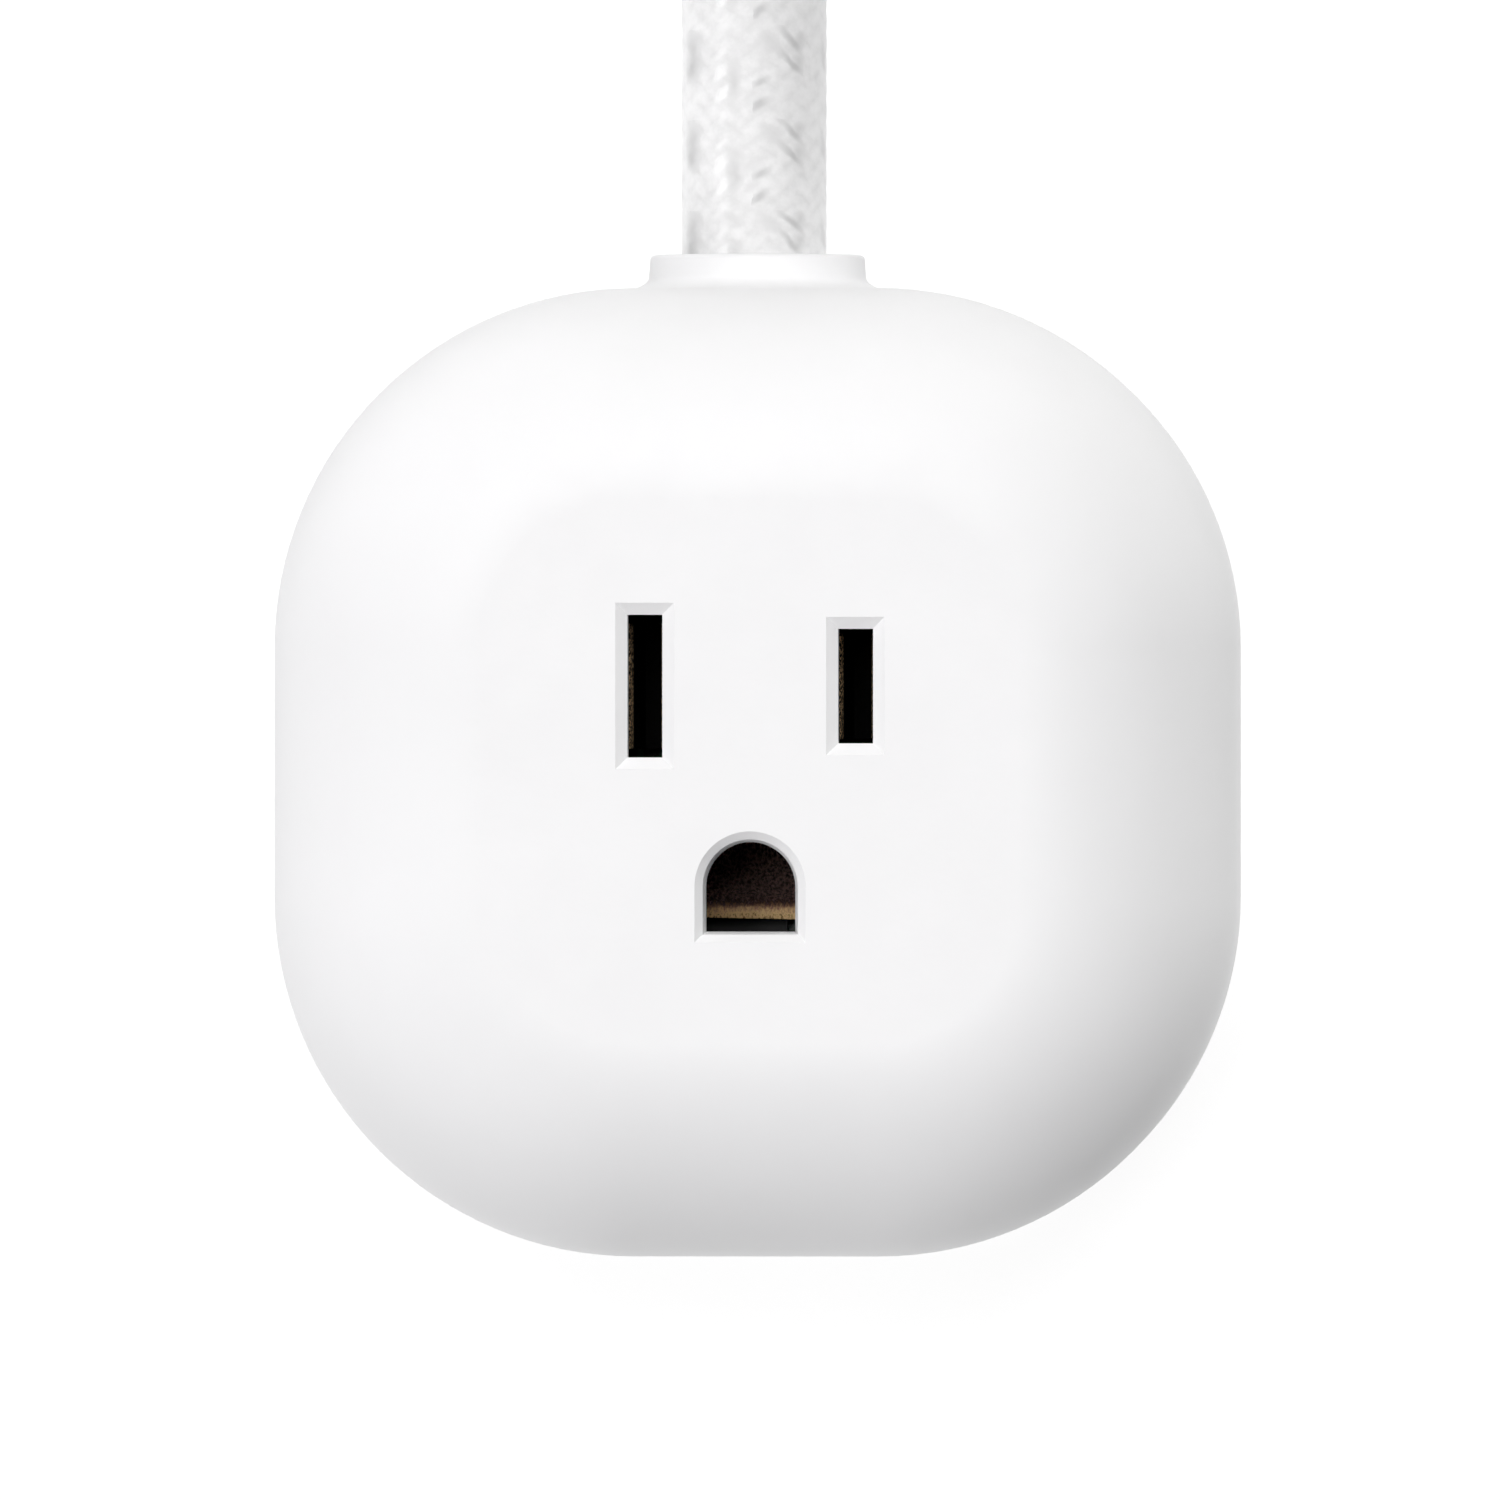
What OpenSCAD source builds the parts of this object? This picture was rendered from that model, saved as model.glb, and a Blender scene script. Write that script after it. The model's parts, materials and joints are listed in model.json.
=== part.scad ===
// Corded smart plug: a rounded square outlet housing on a braided lead.
// The housing lies on its back. Origin: centre of the back face.
// +Z points out of the socket face, +Y along the lead where it leaves the housing.

/* [Housing] */
// Width of the housing, across the lead
body_w = 58.5; // [58:0.1:60]
// Length of the housing, along the lead
body_h = 58.8; // [58.2:0.1:60]
// Depth from the back face to the socket face
body_d = 34; // [33.6:0.1:34.4]
// Plan radius of the four corners
corner_r = 21.8; // [21.4:0.1:22.2]
// Rounding of the edge round the socket face
front_r = 13; // [12.4:0.1:13.4]
// Rounding of the edge round the back face
back_r = 4; // [3:0.5:4]
// Wall thickness of both shells
wall = 2.4; // [2.2:0.1:2.5]
// Height of the joint between the shells, and of the lead's centre
joint_z = 12; // [11.8:0.1:12.2]

/* [Socket] */
// Distance between the two blade slots
blade_pitch = 12.7; // [12.5:0.1:12.9]
// Distance from the blade slots to the ground pin
ground_drop = 11.9; // [11.8:0.1:12]
// Height of the blade slots above the housing's centre
slot_y = 5.2; // [5:0.1:5.4]
// Width of both blade slots
slot_w = 2.1; // [1.9:0.1:2.3]
// Length of the neutral slot
neutral_len = 8.6; // [8.2:0.1:8.8]
// Length of the hot slot
hot_len = 6.9; // [6.6:0.1:7.2]
// Width of the ground opening
ground_w = 5.4; // [5.3:0.1:5.6]
// Width of the bevel round the slots
slot_bevel = 0.75; // [0.6:0.05:0.8]
// Radius of the ground contact's sleeve, inside
sleeve_r = 2.45; // [2.43:0.01:2.48]

/* [Button] */
// Length of the power button
button_len = 9; // [8:0.5:10]
// Height of the power button
button_h = 4.2; // [4:0.1:4.4]
// Clearance round the power button
button_gap = 0.2; // [0.15:0.05:0.3]

/* [Lead] */
// Diameter of the braided lead
cord_d = 8.8; // [8.6:0.1:8.8]
// Length of the collar outside the housing
collar_len = 1.75; // [1.6:0.05:1.9]
// Radius of the collar at its end
collar_r = 6.5; // [6.2:0.1:6.8]

/* [Plug] */
// Width and length of the flat plug
plug_w = 33; // [32:0.5:33]
// Thickness of the flat plug
plug_t = 15; // [15:0.1:16]
// Length of the two blades outside the plug
blade_len = 17.5; // [16:0.5:18]
// Radius of the plug's ground pin
pin_r = 2.38; // [2.36:0.01:2.41]

/* [Hidden] */
$fn = 48;
eps = 0.01;

// Housing
inner_d = body_d - wall;
lip_gap = 0.1;
lip_t = 1.1;
lip_h = 1.6;
post_x = 17;
post_y = 17;
post_r = 4.2;
front_post_r = 3.3;
boss_top = body_d - 3.5;
screw_hole_r = 1.3;
screw_hole_deep = 13;
recess_r = 3;
recess_deep = 4;
pilot_r = 1.05;
pilot_z = 2.5;
entry_r = 5.5;
board_z = 6;
board_t = 1.6;
board_top = board_z + board_t;
board_screw_x = 22;
board_screw_y = -11;
clamp_x = 8.4;
clamp_y = 21;

// Socket: the ground opening is an arch over a flat, and the pin sits near the arch
ground_y = slot_y - ground_drop;
arch_y = ground_y - 0.2;
carrier_top = inner_d - 0.1;
carrier_base = 14;
carrier_screw_x = 10.4;
mouth_z = 30.9;
leaf_gap = 1.15;
leaf_t = 0.6;
leaf_z = 15;
leaf_top = 28.9;
leaf_flare = 12;
sleeve_z = 15;
sleeve_len = 10;
sleeve_t = 0.5;
stop_z = 12.2;

// Button and light, on the edge opposite the lead
button_z = 16.2;
button_proud = -0.15;
light_z = 19.8;
light_r = 0.75;
button_board_y = -21.2;

// Relay
relay = [15, -7.2, 10, 19.9, 12.5];
relay_x = relay[0] + relay[2] / 2;
relay_wall = 0.7;
core_z = 13.4;
armature_y = 8.6;
armature_t = 1;
pivot_z = 18.3;
contact_z = 11.4;
rivet_r = 0.55;

// Lead: straight out of the collar, down to the floor and into the coil
cord_r = cord_d / 2;
lead_route = [
    [0, 31.15, 12], [0, 34.7, 12], [0, 38.2, 12], [0, 41.7, 11.9], [0, 45.2, 11.7],
    [0, 48.7, 11.2], [-0.3, 52.2, 10.4], [-0.9, 55.6, 9.4], [-1.7, 59.1, 8.2],
    [-2.8, 62.4, 7], [-4.1, 65.6, 6], [-5.7, 68.8, 5.2], [-7.5, 71.8, 4.7],
    [-9.6, 74.6, 4.4], [-11.9, 77.3, 4.4]
];
// Out of the top of the coil and into the plug
tail_route = [
    [42.4, 79.4, 22], [35.4, 77.1, 22.2], [28.1, 76.3, 23.5], [20.8, 77, 25.7],
    [13.8, 79.1, 28.2], [7.4, 82.5, 30], [1.9, 87.1, 30.9], [-2.7, 92.7, 31.6],
    [-6.2, 99, 32.3], [-8.3, 105.8, 33], [-9, 113, 33.4], [-9, 119, 33.4],
    [-9, 126, 33.4], [-9, 133, 33.4], [-9, 139, 33.4]
];
// Coil: two turns wide and three high, each turn one diameter from the next
coil_at = [27, 113];
coil_r = 44;
coil_w = 26.4;
coil_h = 26.4;
tie_t = 1.2;
tie_w = 14;
tie_turn = 40;

// Flat plug, lying on the coil with its blades up
plug_at = [-9, 151.5, coil_h];
plug_axis_z = 33.4;
plug_blade_y = 5.5;
plug_foot = plug_t - 8.5;
insert_w = 23;
insert_r = 8;
insert_t = 3;
insert_proud = 0.3;
blade_t = 1.52;
hot_blade_w = 6.3;
neutral_blade_w = 7.9;
pin_len = 18.2;
pin_foot_r = 1.9;
relief_y = 113;
wire_r = 0.8;

// ---------- shapes ----------

// Rounded square outline of the housing, drawn in by inset
module outline(w, h, r, inset = 0) {
    x = w / 2 - r;
    y = h / 2 - r;
    q = r - inset;
    union() {
        square([2 * x, 2 * (y + q)], center = true);
        square([2 * (x + q), 2 * y], center = true);
        for (sx = [-1, 1], sy = [-1, 1])
            translate([sx * x, sy * y])
                circle(q, $fn = 96);
    }
}

// Section of a rounded edge, from its corner axis outwards
module edge_section(reach, depth, front, back) {
    intersection() {
        square([reach, depth]);
        union() {
            square([reach - front, depth]);
            square([reach - back, depth - front]);
            translate([0, back])
                square([reach, depth - front - back]);
            translate([reach - front, depth - front])
                circle(front, $fn = 96);
            translate([reach - back, back])
                circle(back, $fn = 96);
        }
    }
}

// Rounded square solid with one radius round its front and one round its back
module pillow(w, h, depth, r, front, back) {
    x = w / 2 - r;
    y = h / 2 - r;
    corners = [[x, y, 0], [-x, y, 90], [-x, -y, 180], [x, -y, 270]];
    union() {
        for (c = corners)
            translate([c[0], c[1], 0])
                rotate(c[2])
                    rotate_extrude(angle = 90, $fn = 96)
                        edge_section(r, depth, front, back);
        for (side = [[x, 2 * y, 0], [y, 2 * x, 90], [x, 2 * y, 180], [y, 2 * x, 270]])
            rotate(side[2])
                translate([side[0], side[1] / 2, 0])
                    rotate([90, 0, 0])
                        linear_extrude(side[1])
                            edge_section(r, depth, front, back);
        translate([-x, -y, 0])
            cube([2 * x, 2 * y, depth]);
    }
}

// The housing's outer form, and the space inside its walls
module housing_outer() {
    pillow(body_w, body_h, body_d, corner_r, front_r, back_r);
}

module housing_inner() {
    translate([0, 0, wall])
        pillow(body_w - 2 * wall, body_h - 2 * wall, body_d - 2 * wall,
            corner_r - wall, front_r - wall, back_r - wall);
}

// A slab of the outline between two heights
module slab(low, high, inset = 0) {
    translate([0, 0, low])
        linear_extrude(high - low)
            outline(body_w, body_h, corner_r, inset);
}

// Cylinder along +Y starting at a point
module rod_y(at, r, len) {
    translate(at)
        rotate([-90, 0, 0])
            cylinder(r = r, h = len);
}

// Cuboid given by two corners
module block(low, high) {
    translate(low)
        cube(high - low);
}

// Arch over a flat: the shape of the ground opening
module arch(half) {
    translate([0, arch_y]) {
        circle(half);
        translate([-half, -half])
            square([2 * half, half]);
    }
}

// Opening with a bevel that widens up to the face
module beveled_slot(at, w, len) {
    translate([at[0], at[1], 0]) {
        block([-w / 2, -len / 2, mouth_z], [w / 2, len / 2, body_d + 1]);
        hull() {
            block([-w / 2, -len / 2, body_d - slot_bevel - eps], [w / 2, len / 2, body_d - slot_bevel]);
            block([-w / 2 - slot_bevel, -len / 2 - slot_bevel, body_d],
                [w / 2 + slot_bevel, len / 2 + slot_bevel, body_d + eps]);
        }
    }
}

module socket_openings() {
    beveled_slot([-blade_pitch / 2, slot_y], slot_w, neutral_len);
    beveled_slot([blade_pitch / 2, slot_y], slot_w, hot_len);
    translate([0, 0, mouth_z])
        linear_extrude(body_d)
            arch(ground_w / 2);
    hull() {
        translate([0, 0, body_d - slot_bevel])
            linear_extrude(eps)
                arch(ground_w / 2, $fn = 64);
        translate([0, 0, body_d])
            linear_extrude(eps)
                arch(ground_w / 2 + slot_bevel * 0.85, $fn = 64);
    }
}

// Stadium section, lying in XZ and drawn along +Y
module stadium_y(at, len, height, depth) {
    translate(at)
        rotate([-90, 0, 0])
            linear_extrude(depth)
                union() {
                    square([len - height, height], center = true);
                    for (s = [-1, 1])
                        translate([s * (len - height) / 2, 0])
                            circle(height / 2);
                }
}

// Pan head screw, head down, with its point upwards
module screw(at, head_r, head_h, shank_r, len) {
    translate(at) {
        difference() {
            cylinder(r = head_r, h = head_h);
            block([-head_r * 0.6, -0.3, -eps], [head_r * 0.6, 0.3, head_h * 0.5]);
            block([-0.3, -head_r * 0.6, -eps], [0.3, head_r * 0.6, head_h * 0.5]);
        }
        translate([0, 0, head_h])
            cylinder(r = shank_r, h = len);
    }
}

// Swept tube: direction, one ring turned against a reference vector, and all the faces
function unit(v) = v / norm(v);
function heading(p, i) = unit(p[min(i + 1, len(p) - 1)] - p[max(i - 1, 0)]);
function ring(p, i, r, sides, ref) =
    let (t = heading(p, i), s = unit(cross(t, ref)), u = cross(s, t))
    [for (k = [0 : sides - 1]) p[i] + r * (cos(360 * k / sides) * s + sin(360 * k / sides) * u)];
function tube_points(p, r, sides, ref) = [for (i = [0 : len(p) - 1]) each ring(p, i, r, sides, ref)];
function tube_faces(count, sides) = concat(
    [[for (k = [0 : sides - 1]) k]],
    [for (i = [0 : count - 2], k = [0 : sides - 1])
        let (a = i * sides, b = a + sides, n = (k + 1) % sides)
        each [[a + k, b + k, b + n], [a + k, b + n, a + n]]],
    [[for (k = [sides - 1 : -1 : 0]) (count - 1) * sides + k]]);

module tube(route, r, sides = 12, ref = [0, 0, 1]) {
    polyhedron(points = tube_points(route, r, sides, ref), faces = tube_faces(len(route), sides),
        convexity = 4);
}

// Insulated wire, which may also run straight up or down
module wire(route) {
    tube(route, wire_r, 10, [1, 1, 1]);
}

// ---------- housing ----------

module front_shell() {
    color("white")
        difference() {
            union() {
                difference() {
                    housing_outer();
                    housing_inner();
                }
                for (sx = [-1, 1], sy = [-1, 1])
                    translate([sx * post_x, sy * post_y, joint_z])
                        cylinder(r = front_post_r, h = boss_top - joint_z);
            }
            slab(-1, joint_z, -1);
            slab(joint_z - 1, joint_z + lip_h + 0.2, lip_t);
            socket_openings();
            for (sx = [-1, 1], sy = [-1, 1])
                translate([sx * post_x, sy * post_y, joint_z - eps])
                    cylinder(r = screw_hole_r, h = screw_hole_deep);
            rod_y([0, body_h / 2 - wall - 1, joint_z], entry_r, wall + 2);
            stadium_y([0, -body_h / 2 - 1, button_z], button_len + 2 * button_gap,
                button_h + 2 * button_gap, wall + 2);
            rod_y([0, -body_h / 2 - 1, light_z], light_r + 0.05, wall + 2);
        }
}

module rear_shell() {
    color("white")
        difference() {
            union() {
                intersection() {
                    difference() {
                        housing_outer();
                        housing_inner();
                    }
                    slab(-1, joint_z, -1);
                }
                difference() {
                    slab(joint_z - 2, joint_z + lip_h, lip_t + lip_gap);
                    slab(joint_z - 3, joint_z + lip_h + 1, wall);
                }
                for (sx = [-1, 1], sy = [-1, 1])
                    translate([sx * post_x, sy * post_y, 1])
                        cylinder(r = post_r, h = joint_z - 1.1);
                for (sx = [-1, 1])
                    translate([sx * board_screw_x, board_screw_y, 1])
                        cylinder(r = 2.4, h = board_z - 1.05);
                for (sx = [-1, 1])
                    translate([sx * clamp_x, clamp_y, 1])
                        cylinder(r = 2.2, h = 8);
            }
            for (sx = [-1, 1], sy = [-1, 1])
                translate([sx * post_x, sy * post_y, 0]) {
                    translate([0, 0, -1])
                        cylinder(r = recess_r, h = recess_deep + 1);
                    cylinder(r = 1.7, h = 20);
                }
            for (sx = [-1, 1])
                translate([sx * board_screw_x, board_screw_y, pilot_z])
                    cylinder(r = pilot_r, h = 10);
            for (sx = [-1, 1])
                translate([sx * clamp_x, clamp_y, pilot_z])
                    cylinder(r = pilot_r, h = 10);
            rod_y([0, body_h / 2 - wall - 1, joint_z], entry_r, wall + 2);
            block([-7, body_h / 2 - wall - 2, joint_z - eps], [7, body_h / 2 - lip_t + 0.1, joint_z + 5]);
        }
}

module housing_screws() {
    color("silver")
        for (sx = [-1, 1], sy = [-1, 1])
            screw([sx * post_x, sy * post_y, recess_deep - 2], 2.6, 1.95, screw_hole_r - 0.02, 16);
}

// ---------- socket ----------

module contact_carrier() {
    color("dimgray")
        difference() {
            block([-13, -13.5, carrier_base], [13, 11.5, carrier_top]);
            socket_openings();
            for (side = [-1, 1])
                block([side * blade_pitch / 2 - 2.4, slot_y - 4.8, carrier_base - 1],
                    [side * blade_pitch / 2 + 2.4, slot_y + 4.8, mouth_z + eps]);
            translate([0, ground_y, carrier_base - 1])
                cylinder(r = 3.3, h = mouth_z - carrier_base + 1 + eps);
            block([-3.5, -13, carrier_base - 1], [3.5, ground_y, mouth_z + eps]);
            for (side = [-1, 1])
                translate([side * carrier_screw_x, -9, carrier_base - 1])
                    cylinder(r = 1, h = 8);
        }
}

// Two spring leaves joined by a bridge, with a tail down to the board
module blade_contact(len, lead) {
    translate([lead * blade_pitch / 2, slot_y, 0]) {
        for (side = [-1, 1]) {
            block([side * leaf_gap - leaf_t / 2, -len / 2, leaf_z],
                [side * leaf_gap + leaf_t / 2, len / 2, leaf_top]);
            translate([side * leaf_gap, 0, leaf_top])
                rotate([0, side * leaf_flare, 0])
                    block([-leaf_t / 2, -len / 2, -0.1], [leaf_t / 2, len / 2, 1.5]);
        }
        block([-leaf_gap - leaf_t / 2, -len / 2, leaf_z - 0.6],
            [leaf_gap + leaf_t / 2, len / 2, leaf_z + 0.1]);
        block([-0.4, -1.5, board_top], [0.4, 1.5, leaf_z - 0.5]);
    }
}

module neutral_contact() {
    color("goldenrod")
        blade_contact(7.6, -1);
}

module hot_contact() {
    color("goldenrod")
        blade_contact(6.4, 1);
}

// Split sleeve open towards -Y, over a stop plate, with a tail down to the board
module ground_contact() {
    back = ground_y + sleeve_r + sleeve_t;
    color("goldenrod")
        union() {
            translate([0, ground_y, sleeve_z])
                difference() {
                    cylinder(r = sleeve_r + sleeve_t, h = sleeve_len);
                    translate([0, 0, -1])
                        cylinder(r = sleeve_r, h = sleeve_len + 2);
                    rotate(-135)
                        block([0, 0, -1], [5, 5, sleeve_len + 2]);
                }
            block([-1.3, back - 0.4, stop_z + 0.4], [1.3, back, sleeve_z + 0.1]);
            block([-3.6, ground_y - 2.2, stop_z], [3.6, back, stop_z + 0.6]);
            block([-1.5, back - sleeve_t, board_top], [1.5, back, stop_z + 0.5]);
        }
}

// ---------- electronics ----------

module main_board() {
    color("darkgreen")
        translate([0, 0, board_z])
            difference() {
                linear_extrude(board_t)
                    intersection() {
                        outline(body_w, body_h, corner_r, wall + 0.9);
                        translate([-30, -26])
                            square([60, 43]);
                    }
                for (sx = [-1, 1], sy = [-1, 1])
                    translate([sx * post_x, sy * post_y, -1])
                        cylinder(r = post_r + 0.4, h = 4);
                for (sx = [-1, 1])
                    translate([sx * board_screw_x, board_screw_y, -1])
                        cylinder(r = 1.2, h = 4);
            }
}

module board_screws() {
    color("silver")
        for (sx = [-1, 1])
            translate([sx * board_screw_x, board_screw_y, 0])
                mirror([0, 0, 1])
                    screw([0, 0, -board_top - 1.3], 1.9, 1.3, 1, 4.6);
}

module button_board() {
    color("darkgreen")
        block([-9, button_board_y, board_top], [9, button_board_y + 1.2, 22]);
}

module tactile_switch() {
    color("black")
        difference() {
            block([-3, button_board_y - 3.5, button_z - 2.6], [3, button_board_y, button_z + 2.6]);
            rod_y([0, button_board_y - 4, button_z], 1.66, 2.5);
        }
}

module switch_plunger() {
    color("dimgray")
        rod_y([0, button_board_y - 4.3, button_z], 1.6, 2.1);
}

module power_button() {
    face = -body_h / 2 - button_proud;
    color("whitesmoke") {
        stadium_y([0, face, button_z], button_len, button_h, wall + 0.3);
        stadium_y([0, -body_h / 2 + wall + 0.15, button_z], button_len + 2, button_h + 1, 0.9);
        rod_y([0, -body_h / 2 + wall + 0.5, button_z], 1.5, button_board_y - 4.35 + body_h / 2 - wall - 0.5);
    }
}

module light_pipe() {
    color([0.9, 0.95, 1, 0.6])
        union() {
            rod_y([0, -body_h / 2 + 0.1, light_z], light_r, body_h / 2 - 22.4);
            difference() {
                rod_y([0, -25.2, light_z], 1.5, 1.2);
                block([-2, -26, light_z - 2], [2, -23, light_z - 0.75]);
            }
        }
}

module status_led() {
    color("ivory")
        block([-0.8, button_board_y - 0.9, light_z - 0.6], [0.8, button_board_y, light_z + 0.6]);
}

// ---------- relay ----------

module relay_base() {
    color("black")
        block([relay[0], relay[1], board_top], [relay[0] + relay[2], relay[1] + relay[3], board_top + 1.6]);
}

module relay_coil() {
    color("peru")
        union() {
            rod_y([relay_x, -3.5, core_z], 2.5, 10.2);
            for (y = [-4.4, 6.6]) {
                rod_y([relay_x, y, core_z], 2.9, 1);
                block([relay_x - 2.4, y, board_top + 1.6], [relay_x + 2.4, y + 1, 13]);
            }
            rod_y([relay_x, 7.5, core_z], 1.6, 0.4);
        }
}

module relay_yoke() {
    color("silver")
        union() {
            block([relay_x - 3, -5.6, 17.6], [relay_x + 3, 8.4, 18.6]);
            block([relay_x - 3, -5.6, board_top + 1.6], [relay_x + 3, -4.6, 18.6]);
        }
}

// Plate that hangs from its round upper edge
module relay_armature() {
    back = armature_y + armature_t;
    color("silver")
        union() {
            block([relay_x - 2.6, armature_y, 10.2], [relay_x + 2.6, back, 17.2]);
            block([relay_x - 1.4, armature_y, 17], [relay_x + 1.4, back, pivot_z]);
            translate([relay_x - 1.4, armature_y + armature_t / 2, pivot_z])
                rotate([0, 90, 0])
                    cylinder(r = armature_t / 2, h = 2.8);
        }
}

// Blade on the armature, with its rivet beside the coil
module moving_contact() {
    color("chocolate")
        union() {
            block([relay_x - 4.1, 9.6, 10.4], [relay_x + 1, 9.9, 13.4]);
            rod_y([relay_x - 3.5, 8.9, contact_z], rivet_r, 0.8);
        }
}

module fixed_contact() {
    color("chocolate")
        union() {
            block([relay_x - 4, 7.9, board_top + 1.6], [relay_x - 3, 8.2, contact_z + 0.8]);
            rod_y([relay_x - 3.5, 8.1, contact_z], rivet_r, 0.35);
        }
}

module relay_case() {
    low = [relay[0], relay[1], board_top + 1.65];
    high = [relay[0] + relay[2], relay[1] + relay[3], board_top + relay[4]];
    rim = [relay_wall, relay_wall, 0];
    color("royalblue")
        difference() {
            block(low, high);
            block(low + rim - [0, 0, 1], high - rim - [0, 0, relay_wall]);
        }
}

// ---------- small parts on the board ----------

module filter_capacitor() {
    color("gold")
        block([-24.2, -6.8, board_top], [-14.4, -0.8, 19.5]);
}

module transformer() {
    color("khaki")
        union() {
            block([-24.2, 0.8, board_top], [-14.4, 11, 9.6]);
            block([-23.4, 2, 9.5], [-15.2, 9.8, 17.6]);
            block([-24, 4, 9.5], [-14.6, 7.8, 19]);
        }
}

module bulk_capacitor() {
    color("navy")
        translate([-8, -17, board_top])
            difference() {
                cylinder(r = 2.7, h = 12);
                translate([0, 0, 1.4])
                    difference() {
                        cylinder(r = 3, h = 0.5);
                        cylinder(r = 2.45, h = 0.5);
                    }
            }
}

module varistor() {
    color("steelblue")
        union() {
            rod_y([0, -18, 12.6], 3.4, 2);
            for (s = [-1, 1])
                block([s * 2 - 0.3, -17.3, board_top], [s * 2 + 0.3, -16.7, 11]);
        }
}

module fuse() {
    color("tan")
        translate([8.4, -17, board_top])
            cylinder(r = 2, h = 8.5);
}

module bridge_rectifier() {
    color("black")
        block([-5, -11, board_top], [1.6, -7.4, board_top + 2.6]);
}

module wifi_board() {
    color("darkblue")
        block([14.6, -8.6, 21.6], [24.4, 9.6, 22.4]);
}

module wifi_shield() {
    color("silver")
        block([15.4, -6.4, 22.45], [23.6, 3.6, 24.6]);
}

module wifi_header() {
    color("black")
        union() {
            block([15, -9, board_top], [19.6, -7.6, 9.8]);
            for (i = [0 : 3])
                block([15.3 + i * 1.2, -8.5, 9.7], [15.7 + i * 1.2, -8.1, 21.55]);
        }
}

module terminal_block() {
    color("mediumseagreen")
        difference() {
            block([-12.4, 12.4, board_top], [-6.4, 16.6, 15.4]);
            for (x = [-11, -7.8])
                rod_y([x, 14.4, 11.6], 0.95, 3);
        }
}

// ---------- wires from the lead ----------

module hot_wire() {
    color("black")
        wire([
            [1.8, 18, 13.4], [1.8, 16.6, 13.4], [2.4, 15.4, 13.3], [3.8, 14.6, 13],
            [8.2, 13.7, 11.8], [9.8, 13.5, 11.1], [10.4, 13.4, 9.8], [10.4, 13.4, board_top]
        ]);
}

module neutral_wire() {
    color("white")
        wire([
            [-1.8, 18, 13.4], [-1.8, 17.3, 13.4], [-2.3, 16.9, 13.4], [-4, 16.9, 13],
            [-6, 17.4, 12.2], [-7.3, 17.5, 11.7], [-7.8, 16.8, 11.6], [-7.8, 14.6, 11.6]
        ]);
}

module ground_wire() {
    color("green")
        wire([
            [0, 18, 10.2], [0, 15.6, 10.2], [0, 14, 9.9], [0, 13.2, 9.4], [0, 13, 8.6], [0, 13, board_top]
        ]);
}

module load_wire() {
    color("black")
        wire([
            [13.6, 12.6, board_top], [13.6, 12.6, 12.6], [13.1, 12.6, 13.8], [12, 12.6, 14.2],
            [7.6, 12.6, 14.2], [6.5, 12.6, 13.8], [6, 12.6, 12.6], [6, 12.6, board_top]
        ]);
}

// ---------- where the lead enters ----------

module cord_clamp() {
    color("gray")
        difference() {
            block([-11, 19.2, 9.1], [11, 22.8, 19]);
            rod_y([0, 19, joint_z], cord_r + 0.02, 4);
            for (sx = [-1, 1]) {
                block([sx * clamp_x - 2.8, 19, 11.6], [sx * clamp_x + 3.2, 23, 20]);
                translate([sx * clamp_x, clamp_y, 0])
                    cylinder(r = 1.15, h = 20);
            }
        }
}

module clamp_screws() {
    color("silver")
        for (sx = [-1, 1])
            translate([sx * clamp_x, clamp_y, 0])
                mirror([0, 0, 1])
                    screw([0, 0, -13], 1.9, 1.35, 1, 8);
}

// Collar outside, neck through the wall and flange inside
module cord_grommet() {
    edge = body_h / 2;
    tip = edge + collar_len;
    color("white")
        translate([0, 0, joint_z])
            rotate([-90, 0, 0])
                rotate_extrude($fn = 96)
                    difference() {
                        union() {
                            polygon([
                                [3, edge + 0.02], [collar_r + 0.7, edge + 0.02],
                                [collar_r + 0.45, edge + 0.35], [collar_r + 0.2, edge + 0.8],
                                [collar_r, tip - 0.3], [collar_r - 0.3, tip], [3, tip]
                            ]);
                            translate([3, edge - wall - 1])
                                square([2.45, wall + 1.1]);
                            translate([3, edge - wall - 3])
                                square([4.2, 2.98]);
                        }
                        translate([-1, 0])
                            square([1 + cord_r + 0.02, 60]);
                    }
}

module cord_end() {
    color("gainsboro")
        rod_y([0, 18, joint_z], cord_r, body_h / 2 + collar_len - 18);
}

// ---------- the lead ----------

module power_cord() {
    color("whitesmoke")
        tube(lead_route, cord_r);
}

module cord_coil() {
    color("whitesmoke")
        translate([coil_at[0], coil_at[1], 0])
            rotate_extrude($fn = 128)
                translate([coil_r - coil_w / 2, 0])
                    union() {
                        translate([0, cord_r])
                            square([coil_w, coil_h - cord_d]);
                        translate([cord_r, 0])
                            square([coil_w - cord_d, coil_h]);
                        for (x = [cord_r, coil_w - cord_r], y = [cord_r, coil_h - cord_r])
                            translate([x, y])
                                circle(cord_r);
                    }
}

module cord_tail() {
    color("whitesmoke")
        tube(tail_route, cord_r);
}

// Flat strap round the turns of the coil
module cord_tie() {
    color("gainsboro")
        translate([coil_at[0], coil_at[1], 0])
            rotate(tie_turn)
                translate([coil_r, tie_w / 2, coil_h / 2 + tie_t / 2])
                    rotate([90, 0, 0])
                        linear_extrude(tie_w)
                            difference() {
                                round_rect(coil_w + 2 * tie_t, coil_h + tie_t, cord_r + tie_t);
                                round_rect(coil_w, coil_h - tie_t, cord_r);
                            }
}

// Rectangle with round corners, from squares and circles
module round_rect(w, h, r) {
    union() {
        square([w - 2 * r, h], center = true);
        square([w, h - 2 * r], center = true);
        for (sx = [-1, 1], sy = [-1, 1])
            translate([sx * (w / 2 - r), sy * (h / 2 - r)])
                circle(r);
    }
}

// ---------- the far end ----------

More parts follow.
